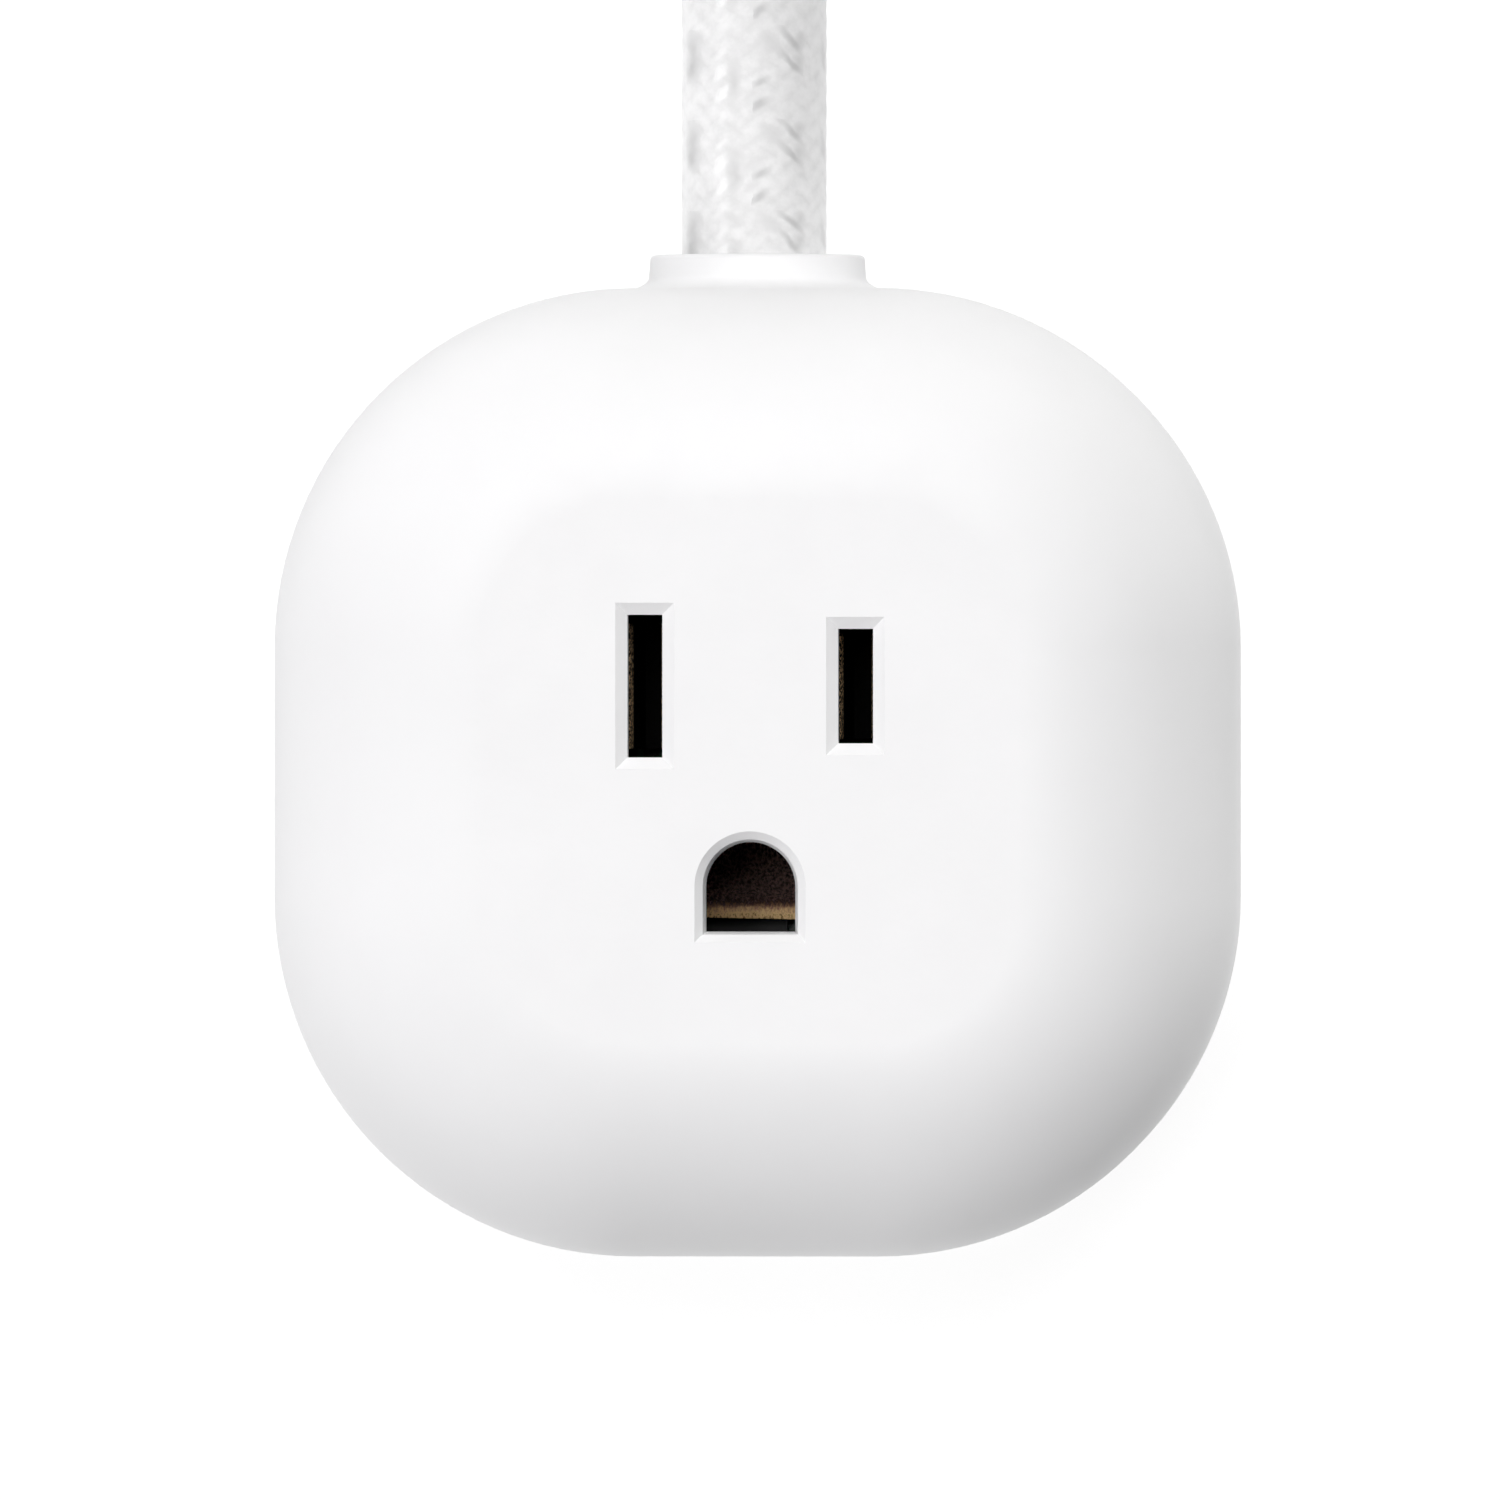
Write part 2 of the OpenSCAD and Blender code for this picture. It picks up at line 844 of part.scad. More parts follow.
module plug_body() {
    color("white")
        translate(plug_at)
            difference() {
                pillow(plug_w, plug_w, plug_t, 12, 5, 3);
                translate([0, 0, plug_t - insert_t])
                    linear_extrude(insert_t + 1)
                        outline(insert_w, insert_w, insert_r);
                for (side = [-1, 1])
                    block([side * blade_pitch / 2 - 1.6, plug_blade_y - 4.2, plug_foot - 0.5],
                        [side * blade_pitch / 2 + 1.6, plug_blade_y + 4.2, plug_t]);
                translate([0, plug_blade_y - ground_drop, plug_foot - 0.5])
                    cylinder(r = pin_foot_r + 0.5, h = plug_t);
                rod_y([0, -plug_w / 2 - 1, plug_axis_z - coil_h], cord_r + 0.02, 5.02);
            }
}

module plug_insert() {
    color("gainsboro")
        translate(plug_at)
            difference() {
                translate([0, 0, plug_t - insert_t])
                    linear_extrude(insert_t + insert_proud)
                        outline(insert_w, insert_w, insert_r, 0.02);
                for (hole = [[-1, hot_blade_w], [1, neutral_blade_w]])
                    translate([hole[0] * blade_pitch / 2, plug_blade_y, plug_t - insert_t - 1])
                        translate([-blade_t / 2 - 0.02, -hole[1] / 2 - 0.05, 0])
                            cube([blade_t + 0.04, hole[1] + 0.1, insert_t + 2]);
                translate([0, plug_blade_y - ground_drop, plug_t - insert_t - 1])
                    cylinder(r = pin_foot_r + 0.02, h = insert_t + 2);
            }
}

// Flat blade with a chamfered tip and a hole, standing on a foot inside the plug
module plug_blade(side, width) {
    half = blade_t / 2;
    tip = plug_t + insert_proud + blade_len;
    translate(plug_at + [side * blade_pitch / 2, plug_blade_y, 0])
        difference() {
            rotate([90, 0, 0])
                translate([0, 0, -width / 2])
                    linear_extrude(width)
                        polygon([
                            [-half, plug_foot], [half, plug_foot], [half, tip - 1.2],
                            [half - 0.4, tip], [0.4 - half, tip], [-half, tip - 1.2]
                        ]);
            translate([-2, 0, tip - 4.6])
                rotate([0, 90, 0])
                    cylinder(r = 1.6, h = 4);
        }
}

module plug_hot_blade() {
    color("goldenrod")
        plug_blade(-1, hot_blade_w);
}

module plug_neutral_blade() {
    color("goldenrod")
        plug_blade(1, neutral_blade_w);
}

// Round pin with a domed tip, on a thinner foot inside the plug
module plug_ground_pin() {
    face = plug_t + insert_proud;
    color("goldenrod")
        translate(plug_at + [0, plug_blade_y - ground_drop, 0])
            union() {
                translate([0, 0, plug_foot])
                    cylinder(r = pin_foot_r, h = face - plug_foot + 0.1);
                translate([0, 0, face])
                    cylinder(r = pin_r, h = pin_len);
                translate([0, 0, face + pin_len])
                    sphere(pin_r);
            }
}

module plug_strain_relief() {
    reach = plug_at[1] - plug_w / 2 - relief_y;
    color("white")
        translate([plug_at[0], relief_y, plug_axis_z])
            rotate([-90, 0, 0])
                rotate_extrude($fn = 64)
                    difference() {
                        polygon([
                            [4, 0], [4.9, 0], [5.1, 0.4], [5.3, reach * 0.4],
                            [5.7, reach * 0.75], [6.4, reach], [4, reach]
                        ]);
                        translate([3, -1])
                            square([1.42 + cord_r - 4.4, 40]);
                    }
}

front_shell();
rear_shell();
housing_screws();
contact_carrier();
neutral_contact();
hot_contact();
ground_contact();
main_board();
board_screws();
button_board();
power_button();
tactile_switch();
switch_plunger();
light_pipe();
status_led();
relay_base();
relay_coil();
relay_yoke();
relay_armature();
moving_contact();
fixed_contact();
relay_case();
filter_capacitor();
transformer();
bulk_capacitor();
varistor();
fuse();
bridge_rectifier();
wifi_board();
wifi_shield();
wifi_header();
terminal_block();
hot_wire();
neutral_wire();
ground_wire();
load_wire();
cord_clamp();
clamp_screws();
cord_grommet();
cord_end();
power_cord();
cord_coil();
cord_tail();
cord_tie();
plug_body();
plug_insert();
plug_hot_blade();
plug_neutral_blade();
plug_ground_pin();
plug_strain_relief();
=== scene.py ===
import json
import math

import bmesh
import bpy
import numpy as np
from mathutils import Matrix, Vector


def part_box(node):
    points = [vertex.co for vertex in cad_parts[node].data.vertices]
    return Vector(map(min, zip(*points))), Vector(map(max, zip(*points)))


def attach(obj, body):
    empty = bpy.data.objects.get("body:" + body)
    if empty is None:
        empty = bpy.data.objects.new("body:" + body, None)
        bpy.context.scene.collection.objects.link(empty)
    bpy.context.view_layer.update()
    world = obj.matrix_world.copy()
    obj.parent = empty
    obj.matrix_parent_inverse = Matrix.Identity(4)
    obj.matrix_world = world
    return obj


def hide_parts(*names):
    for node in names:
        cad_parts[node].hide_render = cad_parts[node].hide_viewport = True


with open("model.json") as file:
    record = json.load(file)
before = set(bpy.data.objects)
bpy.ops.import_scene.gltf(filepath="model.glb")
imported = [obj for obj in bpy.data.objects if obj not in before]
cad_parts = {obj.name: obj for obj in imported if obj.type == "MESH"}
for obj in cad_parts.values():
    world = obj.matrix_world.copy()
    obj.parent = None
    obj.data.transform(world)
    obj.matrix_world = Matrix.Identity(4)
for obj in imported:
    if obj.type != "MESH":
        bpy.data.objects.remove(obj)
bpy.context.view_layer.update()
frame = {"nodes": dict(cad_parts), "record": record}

# The corded smart plug lies on its back: +Z out of the socket face, +Y along the lead.
MM = 0.001


def mm(*points):
    """Points given in millimetres, in metres."""
    return [tuple(v * MM for v in point) for point in points]


def low(node):
    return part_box(node)[0]


def high(node):
    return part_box(node)[1]


def middle(node):
    return (low(node) + high(node)) / 2


# ---------- camera ----------

FACE_Z = high("front_shell").z
CAM_DISTANCE = 1600 * MM
CAM_SIDE = 46 * MM
CAM_AIM = Vector((0, 1.35 * MM, FACE_Z))
VIEW_WIDTH = 90.3 * MM
SENSOR = 36


def make_camera():
    """Looks down on the socket face from far off, a little to the right of its middle."""
    data = bpy.data.cameras.new("camera")
    data.sensor_width = SENSOR
    data.lens = SENSOR * CAM_DISTANCE / VIEW_WIDTH
    data.clip_start = 0.05
    data.clip_end = 50
    cam = bpy.data.objects.new("camera", data)
    bpy.context.scene.collection.objects.link(cam)
    place = CAM_AIM + Vector((CAM_SIDE, 0, CAM_DISTANCE))
    back = (place - CAM_AIM).normalized()
    right = Vector((0, 1, 0)).cross(back).normalized()
    up = back.cross(right)
    turn = Matrix((right, up, back)).transposed().to_4x4()
    cam.matrix_world = Matrix.Translation(place) @ turn
    bpy.context.scene.camera = cam


make_camera()


# ---------- mesh helpers ----------

WELD_GAP = 1e-7


def link(name, mesh):
    piece = bpy.data.objects.new(name, mesh)
    bpy.context.scene.collection.objects.link(piece)
    return piece


def mesh_piece(name, verts, faces):
    """A mesh object with its faces turned outwards."""
    mesh = bpy.data.meshes.new(name)
    mesh.from_pydata([tuple(v) for v in verts], [], faces)
    bm = bmesh.new()
    bm.from_mesh(mesh)
    bmesh.ops.recalc_face_normals(bm, faces=bm.faces)
    bm.to_mesh(mesh)
    bm.free()
    return link(name, mesh)


def loft(name, rings, closed=False):
    """Skins rings of equal length. An open run is capped at both ends; a closed one joins up."""
    count = len(rings[0])
    verts = [p for ring in rings for p in ring]
    faces = []
    spans = len(rings) if closed else len(rings) - 1
    for i in range(spans):
        a = i * count
        b = (i + 1) % len(rings) * count
        for k in range(count):
            n = (k + 1) % count
            faces.append((a + k, b + k, b + n, a + n))
    if not closed:
        faces.append(tuple(range(count)))
        faces.append(tuple(reversed(range((len(rings) - 1) * count, len(rings) * count))))
    return mesh_piece(name, verts, faces)


def lathe(name, profile, place, axis, steps):
    """Turns a closed profile of (radius, height) round an axis through place."""
    rings = []
    for k in range(steps):
        a = 2 * math.pi * k / steps
        ring = []
        for r, h in profile:
            u = r * math.cos(a)
            v = r * math.sin(a)
            spot = {"X": (h, u, v), "Y": (u, h, v), "Z": (u, v, h)}[axis]
            ring.append(Vector(place) + Vector(spot))
        rings.append(ring)
    return weld(loft(name, rings, closed=True))


def weld(piece):
    """Merges the points that meet on the axis."""
    bm = bmesh.new()
    bm.from_mesh(piece.data)
    bmesh.ops.remove_doubles(bm, verts=bm.verts, dist=WELD_GAP)
    bmesh.ops.dissolve_degenerate(bm, edges=bm.edges, dist=WELD_GAP)
    bmesh.ops.recalc_face_normals(bm, faces=bm.faces)
    bm.to_mesh(piece.data)
    bm.free()
    return piece


def arc(centre, radius, start, end, steps):
    """Points of an arc in a plane, angles in degrees."""
    out = []
    for i in range(steps + 1):
        a = math.radians(start + (end - start) * i / steps)
        out.append((centre[0] + radius * math.cos(a), centre[1] + radius * math.sin(a)))
    return out


def rounded_outline(half_x, half_y, radius, arc_steps, side_steps):
    """Rounded rectangle round the origin, anticlockwise, with its straight sides divided."""
    x = half_x - radius
    y = half_y - radius
    out = []
    for cx, cy, start in ((x, y, 0), (-x, y, 90), (-x, -y, 180), (x, -y, 270)):
        corner = arc((cx, cy), radius, start, start + 90, arc_steps)
        if out:
            out += between(out[-1], corner[0], side_steps)
        out += corner
    return out + between(out[-1], out[0], side_steps)


def between(a, b, steps):
    """The points that divide a straight side, without its ends."""
    if math.dist(a, b) < WELD_GAP / 100:
        return []
    return [tuple(p + (q - p) * i / steps for p, q in zip(a, b)) for i in range(1, steps)]


def pillow_ring(size, radius, inset, z, centre=(0, 0), arc_steps=32, side_steps=6):
    """One level of a rounded square form, drawn in by inset."""
    half_x = size[0] / 2 - inset
    half_y = size[1] / 2 - inset
    flat = rounded_outline(half_x, half_y, radius - inset, arc_steps, side_steps)
    return [Vector((centre[0] + x, centre[1] + y, z)) for x, y in flat]


def boolean(piece, tool, operation):
    """Cuts or joins a tool mesh, which is then removed."""
    step = piece.modifiers.new(operation, "BOOLEAN")
    step.operation = operation
    step.solver = "EXACT"
    step.object = tool
    bake_modifiers(piece)
    bpy.data.objects.remove(tool)


def bake_modifiers(piece):
    graph = bpy.context.evaluated_depsgraph_get()
    done = bpy.data.meshes.new_from_object(piece.evaluated_get(graph), depsgraph=graph)
    piece.modifiers.clear()
    piece.data = done


def carve(piece, *tools):
    for tool in tools:
        boolean(piece, tool, "DIFFERENCE")


def fuse(piece, *tools):
    for tool in tools:
        boolean(piece, tool, "UNION")


def smooth(piece, angle=20, weighted=True):
    """Smooth shading with crisp edges where faces meet at more than the angle."""
    mesh = piece.data
    mesh.polygons.foreach_set("use_smooth", [True] * len(mesh.polygons))
    mesh.set_sharp_from_angle(angle=math.radians(angle))
    if weighted:
        step = piece.modifiers.new("even_normals", "WEIGHTED_NORMAL")
        step.keep_sharp = True
        step.weight = 80
        bake_modifiers(piece)
    return piece


def round_edges(piece, width, segments, angle):
    step = piece.modifiers.new("edges", "BEVEL")
    step.width = width
    step.segments = segments
    step.limit_method = "ANGLE"
    step.angle_limit = math.radians(angle)
    step.miter_outer = "MITER_ARC"
    bake_modifiers(piece)


def box_piece(name, corner, opposite):
    """A plain block, which the calling code then cuts or rounds."""
    x0, y0, z0 = corner
    x1, y1, z1 = opposite
    base = [(x0, y0), (x1, y0), (x1, y1), (x0, y1)]
    return loft(name, [[Vector((x, y, z)) for x, y in base] for z in (z0, z1)])


def rod(name, place, radius, length, axis, steps):
    return lathe(name, [(0, 0), (radius, 0), (radius, length), (0, length)], place, axis, steps)


def finish_piece(piece, material, slot, *nodes, body="housing"):
    """Gives a piece its material and body, and lets it stand for CAD nodes. Its slot argument is not used."""
    piece.data.materials.clear()
    piece.data.materials.append(material)
    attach(piece, body)
    if nodes:
        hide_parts(*nodes)
    return piece


# ---------- material helpers ----------

class Paint:
    """A node material with a Principled shader, and short ways to add what feeds it."""

    def __init__(self, name, **sockets):
        self.material = bpy.data.materials.new(name)
        self.material.use_nodes = True
        self.tree = self.material.node_tree
        self.shader = self.tree.nodes["Principled BSDF"]
        for key, value in sockets.items():
            self.set(key.replace("_", " "), value)
        self.space = self.node("ShaderNodeTexCoord").outputs["Object"]

    def node(self, kind, **settings):
        made = self.tree.nodes.new(kind)
        for key, value in settings.items():
            setattr(made, key, value)
        return made

    def wire(self, source, target):
        self.tree.links.new(source, target)

    def set(self, name, value):
        self.feed(self.shader.inputs[name], value)

    def feed(self, socket, value):
        if isinstance(value, bpy.types.NodeSocket):
            self.wire(value, socket)
        else:
            socket.default_value = value

    def math(self, operation, a, b=0.0, c=0.0):
        made = self.node("ShaderNodeMath", operation=operation)
        for socket, value in zip(made.inputs, (a, b, c)):
            self.feed(socket, value)
        return made.outputs[0]

    def axes(self, vector=None):
        """The X, Y and Z of a vector, or of the place on the piece."""
        made = self.node("ShaderNodeSeparateXYZ")
        self.wire(vector or self.space, made.inputs[0])
        return made.outputs

    def stretched(self, scale):
        made = self.node("ShaderNodeMapping")
        made.inputs["Scale"].default_value = scale
        self.wire(self.space, made.inputs["Vector"])
        return made.outputs["Vector"]

    def noise(self, scale, detail=3.0, rough=0.5, where=None):
        made = self.node("ShaderNodeTexNoise")
        made.inputs["Scale"].default_value = scale
        made.inputs["Detail"].default_value = detail
        made.inputs["Roughness"].default_value = rough
        self.wire(where or self.space, made.inputs["Vector"])
        return made.outputs["Fac"]

    def ramp(self, value, stops):
        made = self.node("ShaderNodeValToRGB")
        line = made.color_ramp
        while len(line.elements) < len(stops):
            line.elements.new(0.5)
        for element, (place, colour) in zip(line.elements, stops):
            element.position = place
            element.color = (*colour, 1) if len(colour) == 3 else colour
        self.wire(value, made.inputs["Fac"])
        return made.outputs["Color"]

    def spread(self, value, low_in, high_in, low_out, high_out):
        made = self.node("ShaderNodeMapRange")
        for socket, number in zip(made.inputs[1:5], (low_in, high_in, low_out, high_out)):
            socket.default_value = number
        self.wire(value, made.inputs["Value"])
        return made.outputs["Result"]

    def bump(self, height, distance, strength, under=None):
        made = self.node("ShaderNodeBump")
        made.inputs["Distance"].default_value = distance
        made.inputs["Strength"].default_value = strength
        self.wire(height, made.inputs["Height"])
        if under:
            self.wire(under, made.inputs["Normal"])
        return made.outputs["Normal"]

    def surface(self, colour, rough, relief):
        """Sets the colour by a ramp, the roughness by a spread and the texture by a bump."""
        self.set("Base Color", self.ramp(*colour))
        self.set("Roughness", self.spread(*rough))
        self.set("Normal", self.bump(*relief))
        return self.material


def shade(colour, factor):
    return tuple(min(1.0, c * factor) for c in colour[:3])


def moulded(name, colour, rough, grain, depth, drift=0.02, gloss=0.36):
    """Moulded plastic: faint uneven tone, uneven gloss and a fine texture."""
    paint = Paint(name, Specular_IOR_Level=gloss)
    slow = paint.noise(90, 3)
    fine = paint.noise(grain, 2, 0.6)
    stops = [(0.3, shade(colour, 1 - drift)), (0.7, shade(colour, 1 + drift))]
    uneven = (paint.noise(grain / 4, 4), 0.3, 0.7, rough - 0.04, rough + 0.05)
    return paint.surface((slow, stops), uneven, (fine, depth * MM, 0.35))


def rolled_metal(name, dark, bright, rough, stretch, grain):
    """Drawn or rolled metal: streaks along one way, tarnish in patches."""
    paint = Paint(name, Metallic=1.0)
    streaks = paint.noise(grain, 4, 0.6, paint.stretched(stretch))
    patches = paint.noise(420, 5, 0.65)
    both = paint.math("MULTIPLY_ADD", streaks, 0.65, paint.math("MULTIPLY", patches, 0.35))
    stops = [(0.32, dark), (0.66, bright)]
    uneven = (both, 0.3, 0.7, rough + 0.12, rough - 0.06)
    return paint.surface((both, stops), uneven, (streaks, 0.01 * MM, 0.5))


# ---------- the lead ----------

CORD_D = 8.8 * MM
CORD_R = CORD_D / 2
CORD_SIDE = -0.38
LEAD_ROUTE = [
    (CORD_SIDE, 18, 12), (CORD_SIDE, 24, 12), (CORD_SIDE, 31.15, 12), (CORD_SIDE, 34.7, 12),
    (CORD_SIDE, 38.2, 12), (CORD_SIDE, 41.7, 11.9), (CORD_SIDE, 45.2, 11.7), (-0.43, 48.7, 11.2),
    (-0.6, 52.2, 10.4), (-1.05, 55.6, 9.4), (-1.75, 59.1, 8.2),
    (-2.8, 62.4, 7), (-4.1, 65.6, 6), (-5.7, 68.8, 5.2), (-7.5, 71.8, 4.7),
    (-9.6, 74.6, 4.4), (-11.9, 77.3, 4.4),
]
TAIL_ROUTE = [
    (42.4, 79.4, 22), (35.4, 77.1, 22.2), (28.1, 76.3, 23.5), (20.8, 77, 25.7),
    (13.8, 79.1, 28.2), (7.4, 82.5, 30), (1.9, 87.1, 30.9), (-2.7, 92.7, 31.6),
    (-6.2, 99, 32.3), (-8.3, 105.8, 33), (-9, 113, 33.4), (-9, 119, 33.4),
    (-9, 126, 33.4), (-9, 133, 33.4), (-9, 139, 33.4),
]
COIL_AT = (27, 113)
COIL_OUTER = 52.8
COIL_PITCH = 8.8
COIL_TURNS = 5.8
COIL_START = 222.5916
TURN_STEPS = 40


def eased(x):
    """0 to 1 with no jump in slope or curvature."""
    u = min(max(x, 0), 1)
    return u ** 3 * (u * (u * 6 - 15) + 10)


def coil_point(turn):
    """Two turns to each layer: inwards, then up and outwards, then up and inwards again."""
    if turn < 2:
        radius = COIL_OUTER - COIL_PITCH * turn
    elif turn < 4:
        radius = COIL_OUTER - COIL_PITCH * (4 - turn)
    else:
        radius = COIL_OUTER - COIL_PITCH * (turn - 4)
    level = eased((turn - 1.86) / 0.28) + eased((turn - 3.9) / 0.2)
    angle = math.radians(COIL_START - 360 * turn)
    return (
        COIL_AT[0] + radius * math.cos(angle),
        COIL_AT[1] + radius * math.sin(angle),
        COIL_PITCH * (0.5 + level),
    )


def cord_points():
    """The whole route, in metres, before it is smoothed."""
    steps = round(COIL_TURNS * TURN_STEPS)
    coil = [coil_point(COIL_TURNS * i / steps) for i in range(1, steps)]
    route = LEAD_ROUTE + coil + TAIL_ROUTE
    return np.array(route) * MM


def smooth_line(points, spacing):
    """A Catmull-Rom line through the points, resampled to an even spacing."""
    padded = np.vstack([2 * points[0] - points[1], points, 2 * points[-1] - points[-2]])
    fine = []
    for a, b, c, d in zip(padded[:-3], padded[1:-2], padded[2:-1], padded[3:]):
        for t in np.arange(0, 1, 0.05):
            fine.append(
                0.5 * (2 * b + (c - a) * t + (2 * a - 5 * b + 4 * c - d) * t ** 2
                       + (3 * b - a - 3 * c + d) * t ** 3)
            )
    fine.append(points[-1])
    fine = np.array(fine)
    run = np.concatenate([[0], np.cumsum(np.linalg.norm(np.diff(fine, axis=0), axis=1))])
    count = round(run[-1] / spacing)
    at = np.linspace(0, run[-1], count + 1)
    line = np.stack([np.interp(at, run, fine[:, k]) for k in range(3)], axis=1)
    return line, at


# Braid: twelve columns round, marked again half way round and after four picks
BRAID_COLUMNS = 12
BRAID_PICK = 1.354 * MM
HALF_ROUND = 6
BRAID_REPEAT = 4
BRAID_RELIEF = 0.07 * MM
BRAID_SWELL = 0.06 * MM
FINE_SIDES = 192
FINE_SPACING = 0.16 * MM
FINE_END = 34 * MM
COARSE_SIDES = 32
COARSE_SPACING = 1.0 * MM
BEAD_AT = (5.17, 0.08)
BEAD_SIZE = (0.16, 0.27)
BEAD_SLANT = 0.9


def braid_height(column, pick):
    """Height of the braid, 0 to 1: a low herringbone, and a row of proud beads."""
    rising = np.cos(np.pi * column) ** 2
    weave = rising * np.abs(np.sin(np.pi * (pick - column)))
    weave += (1 - rising) * np.abs(np.sin(np.pi * (pick + column)))
    across = (np.mod(column, HALF_ROUND) - BEAD_AT[0]) / BEAD_SIZE[0]
    along = np.mod(pick - BEAD_AT[1] - BEAD_SLANT * across * BEAD_SIZE[0] + 0.5, 1) - 0.5
    bead = np.exp(-across ** 2 - (along / BEAD_SIZE[1]) ** 2)
    return 0.45 * weave + 0.8 * bead


def ring_frames(line):
    """Directions across the line at each point, with no twist; the first side points up."""
    heading = np.gradient(line, axis=0)
    heading /= np.linalg.norm(heading, axis=1)[:, None]
    up = np.array([0.0, 0.0, 1.0])
    ups = []
    for h in heading:
        up = up - h * np.dot(up, h)
        up /= np.linalg.norm(up)
        ups.append(up)
    ups = np.array(ups)
    return ups, np.cross(heading, ups)


def build_cord():
    """One tube: fine rings with the braid's relief near the collar, then coarser ones."""
    fine_line, fine_at = smooth_line(cord_points(), FINE_SPACING)
    coarse_line, coarse_at = smooth_line(cord_points(), COARSE_SPACING)
    near = fine_at < FINE_END
    far = coarse_at > FINE_END + COARSE_SPACING / 2
    blocks = []
    for line, at, keep, sides in (
        (fine_line, fine_at, near, FINE_SIDES),
        (coarse_line, coarse_at, far, COARSE_SIDES),
    ):
        ups, rights = ring_frames(line)
        angle = 2 * np.pi * np.arange(sides) / sides
        column = np.tile(BRAID_COLUMNS * np.arange(sides) / sides, (int(keep.sum()), 1))
        pick = np.repeat(at[keep][:, None] / BRAID_PICK, sides, axis=1)
        if sides == FINE_SIDES:
            relief = BRAID_RELIEF * (1 - braid_height(column, pick)) - BRAID_SWELL
        else:
            relief = np.full(column.shape, 0.02 * MM)
        radius = (CORD_R - relief)[..., None]
        across = np.cos(angle)[None, :, None] * ups[keep][:, None, :]
        across = across + np.sin(angle)[None, :, None] * rights[keep][:, None, :]
        blocks.append((line[keep][:, None, :] + radius * across, at[keep]))
    return join_blocks(blocks, np.vstack([fine_line[near], coarse_line[far]]))


def join_blocks(blocks, path):
    """Faces, and texture coordinates counted in columns round and picks along."""
    verts = []
    faces = []
    coords = []
    start = 0
    previous = None
    for rings, at in blocks:
        count, sides = rings.shape[:2]
        verts += rings.reshape(-1, 3).tolist()
        if previous:
            step_down(faces, coords, previous, (start, sides, at[0]))
        for i in range(count - 1):
            a = start + i * sides
            for k in range(sides):
                n = (k + 1) % sides
                faces.append((a + k, a + n, a + sides + n, a + sides + k))
                coords += [uv_at(k, sides, at[i]), uv_at(k + 1, sides, at[i])]
                coords += [uv_at(k + 1, sides, at[i + 1]), uv_at(k, sides, at[i + 1])]
        previous = (start + (count - 1) * sides, sides, at[-1])
        start += count * sides
    first_sides = blocks[0][0].shape[1]
    faces.append(tuple(reversed(range(first_sides))))
    coords += [(0, 0)] * first_sides
    faces.append(tuple(range(previous[0], previous[0] + previous[1])))
    coords += [(0, 0)] * previous[1]
    mesh = bpy.data.meshes.new("braided_lead")
    mesh.from_pydata(verts, [], faces)
    layer = mesh.uv_layers.new(name="braid")
    layer.data.foreach_set("uv", np.array(coords, float).ravel())
    return link("braided_lead", mesh), path


def uv_at(side, sides, along):
    return (BRAID_COLUMNS * side / sides, along / BRAID_PICK)


def step_down(faces, coords, fine, coarse):
    """Joins a fine ring to a coarse one, several fine sides to each coarse side."""
    a, many, along_a = fine
    b, few, along_b = coarse
    share = many // few
    for k in range(few):
        n = (k + 1) % few
        edge = [a + (k * share + i) % many for i in range(share + 1)]
        faces.append((*edge, b + n, b + k))
        coords += [uv_at(k * share + i, many, along_a) for i in range(share + 1)]
        coords += [uv_at(k + 1, few, along_b), uv_at(k, few, along_b)]


# Marks in the braid, partly grey yarn and partly painted shade where yarns dip under: column, pick, width,
# length, slant, depth of tone
BRAID_MARKS = [
    (4.12, 2.8, 0.27, 0.98, 0.0, 0.7),
    (4.0, 2.3, 0.15, 0.3, 0.0, 0.35),
    (0.16, 0.6, 0.22, 0.2, 0.75, 0.8),
    (0.2, 1.6, 0.17, 0.17, 0.75, 0.65),
    (1.08, 2.5, 0.26, 0.18, -1.3, 0.75),
    (1.1, 3.45, 0.26, 0.18, -1.3, 0.75),
    (1.32, 2.52, 0.16, 0.36, 0.0, 0.35),
    (1.32, 3.48, 0.16, 0.36, 0.0, 0.35),
    (5.52, 1.64, 0.16, 0.75, 0.0, 0.4),
    (0.5, 3.3, 0.3, 0.4, -0.6, 0.15),
    (3.1, 0.9, 0.3, 0.5, 0.8, 0.3),
    (2.5, 2.9, 0.2, 0.5, -0.8, 0.3),
]

# How light the braid is, from its brightest beads, which carry a painted highlight, to its darkest marks,
# which are partly painted shade
BRAID_TONES = [(0.0, 0.97), (0.09, 0.89), (0.19, 0.755), (0.68, 0.5)]


def soft_mark(paint, u, v, mark):
    """One soft-edged oval, leaning by its slant."""
    column, pick, width, length, slant, strength = mark
    across = paint.math("SUBTRACT", u, column)
    along = paint.math("MULTIPLY_ADD", across, -slant, paint.math("SUBTRACT", v, pick))
    across = paint.math("POWER", paint.math("DIVIDE", across, width), 2.0)
    along = paint.math("POWER", paint.math("ABSOLUTE", paint.math("DIVIDE", along, length)), 3.0)
    far = paint.math("MULTIPLY", paint.math("ADD", across, along), -1.0)
    return paint.math("MULTIPLY", paint.math("EXPONENT", far), strength)


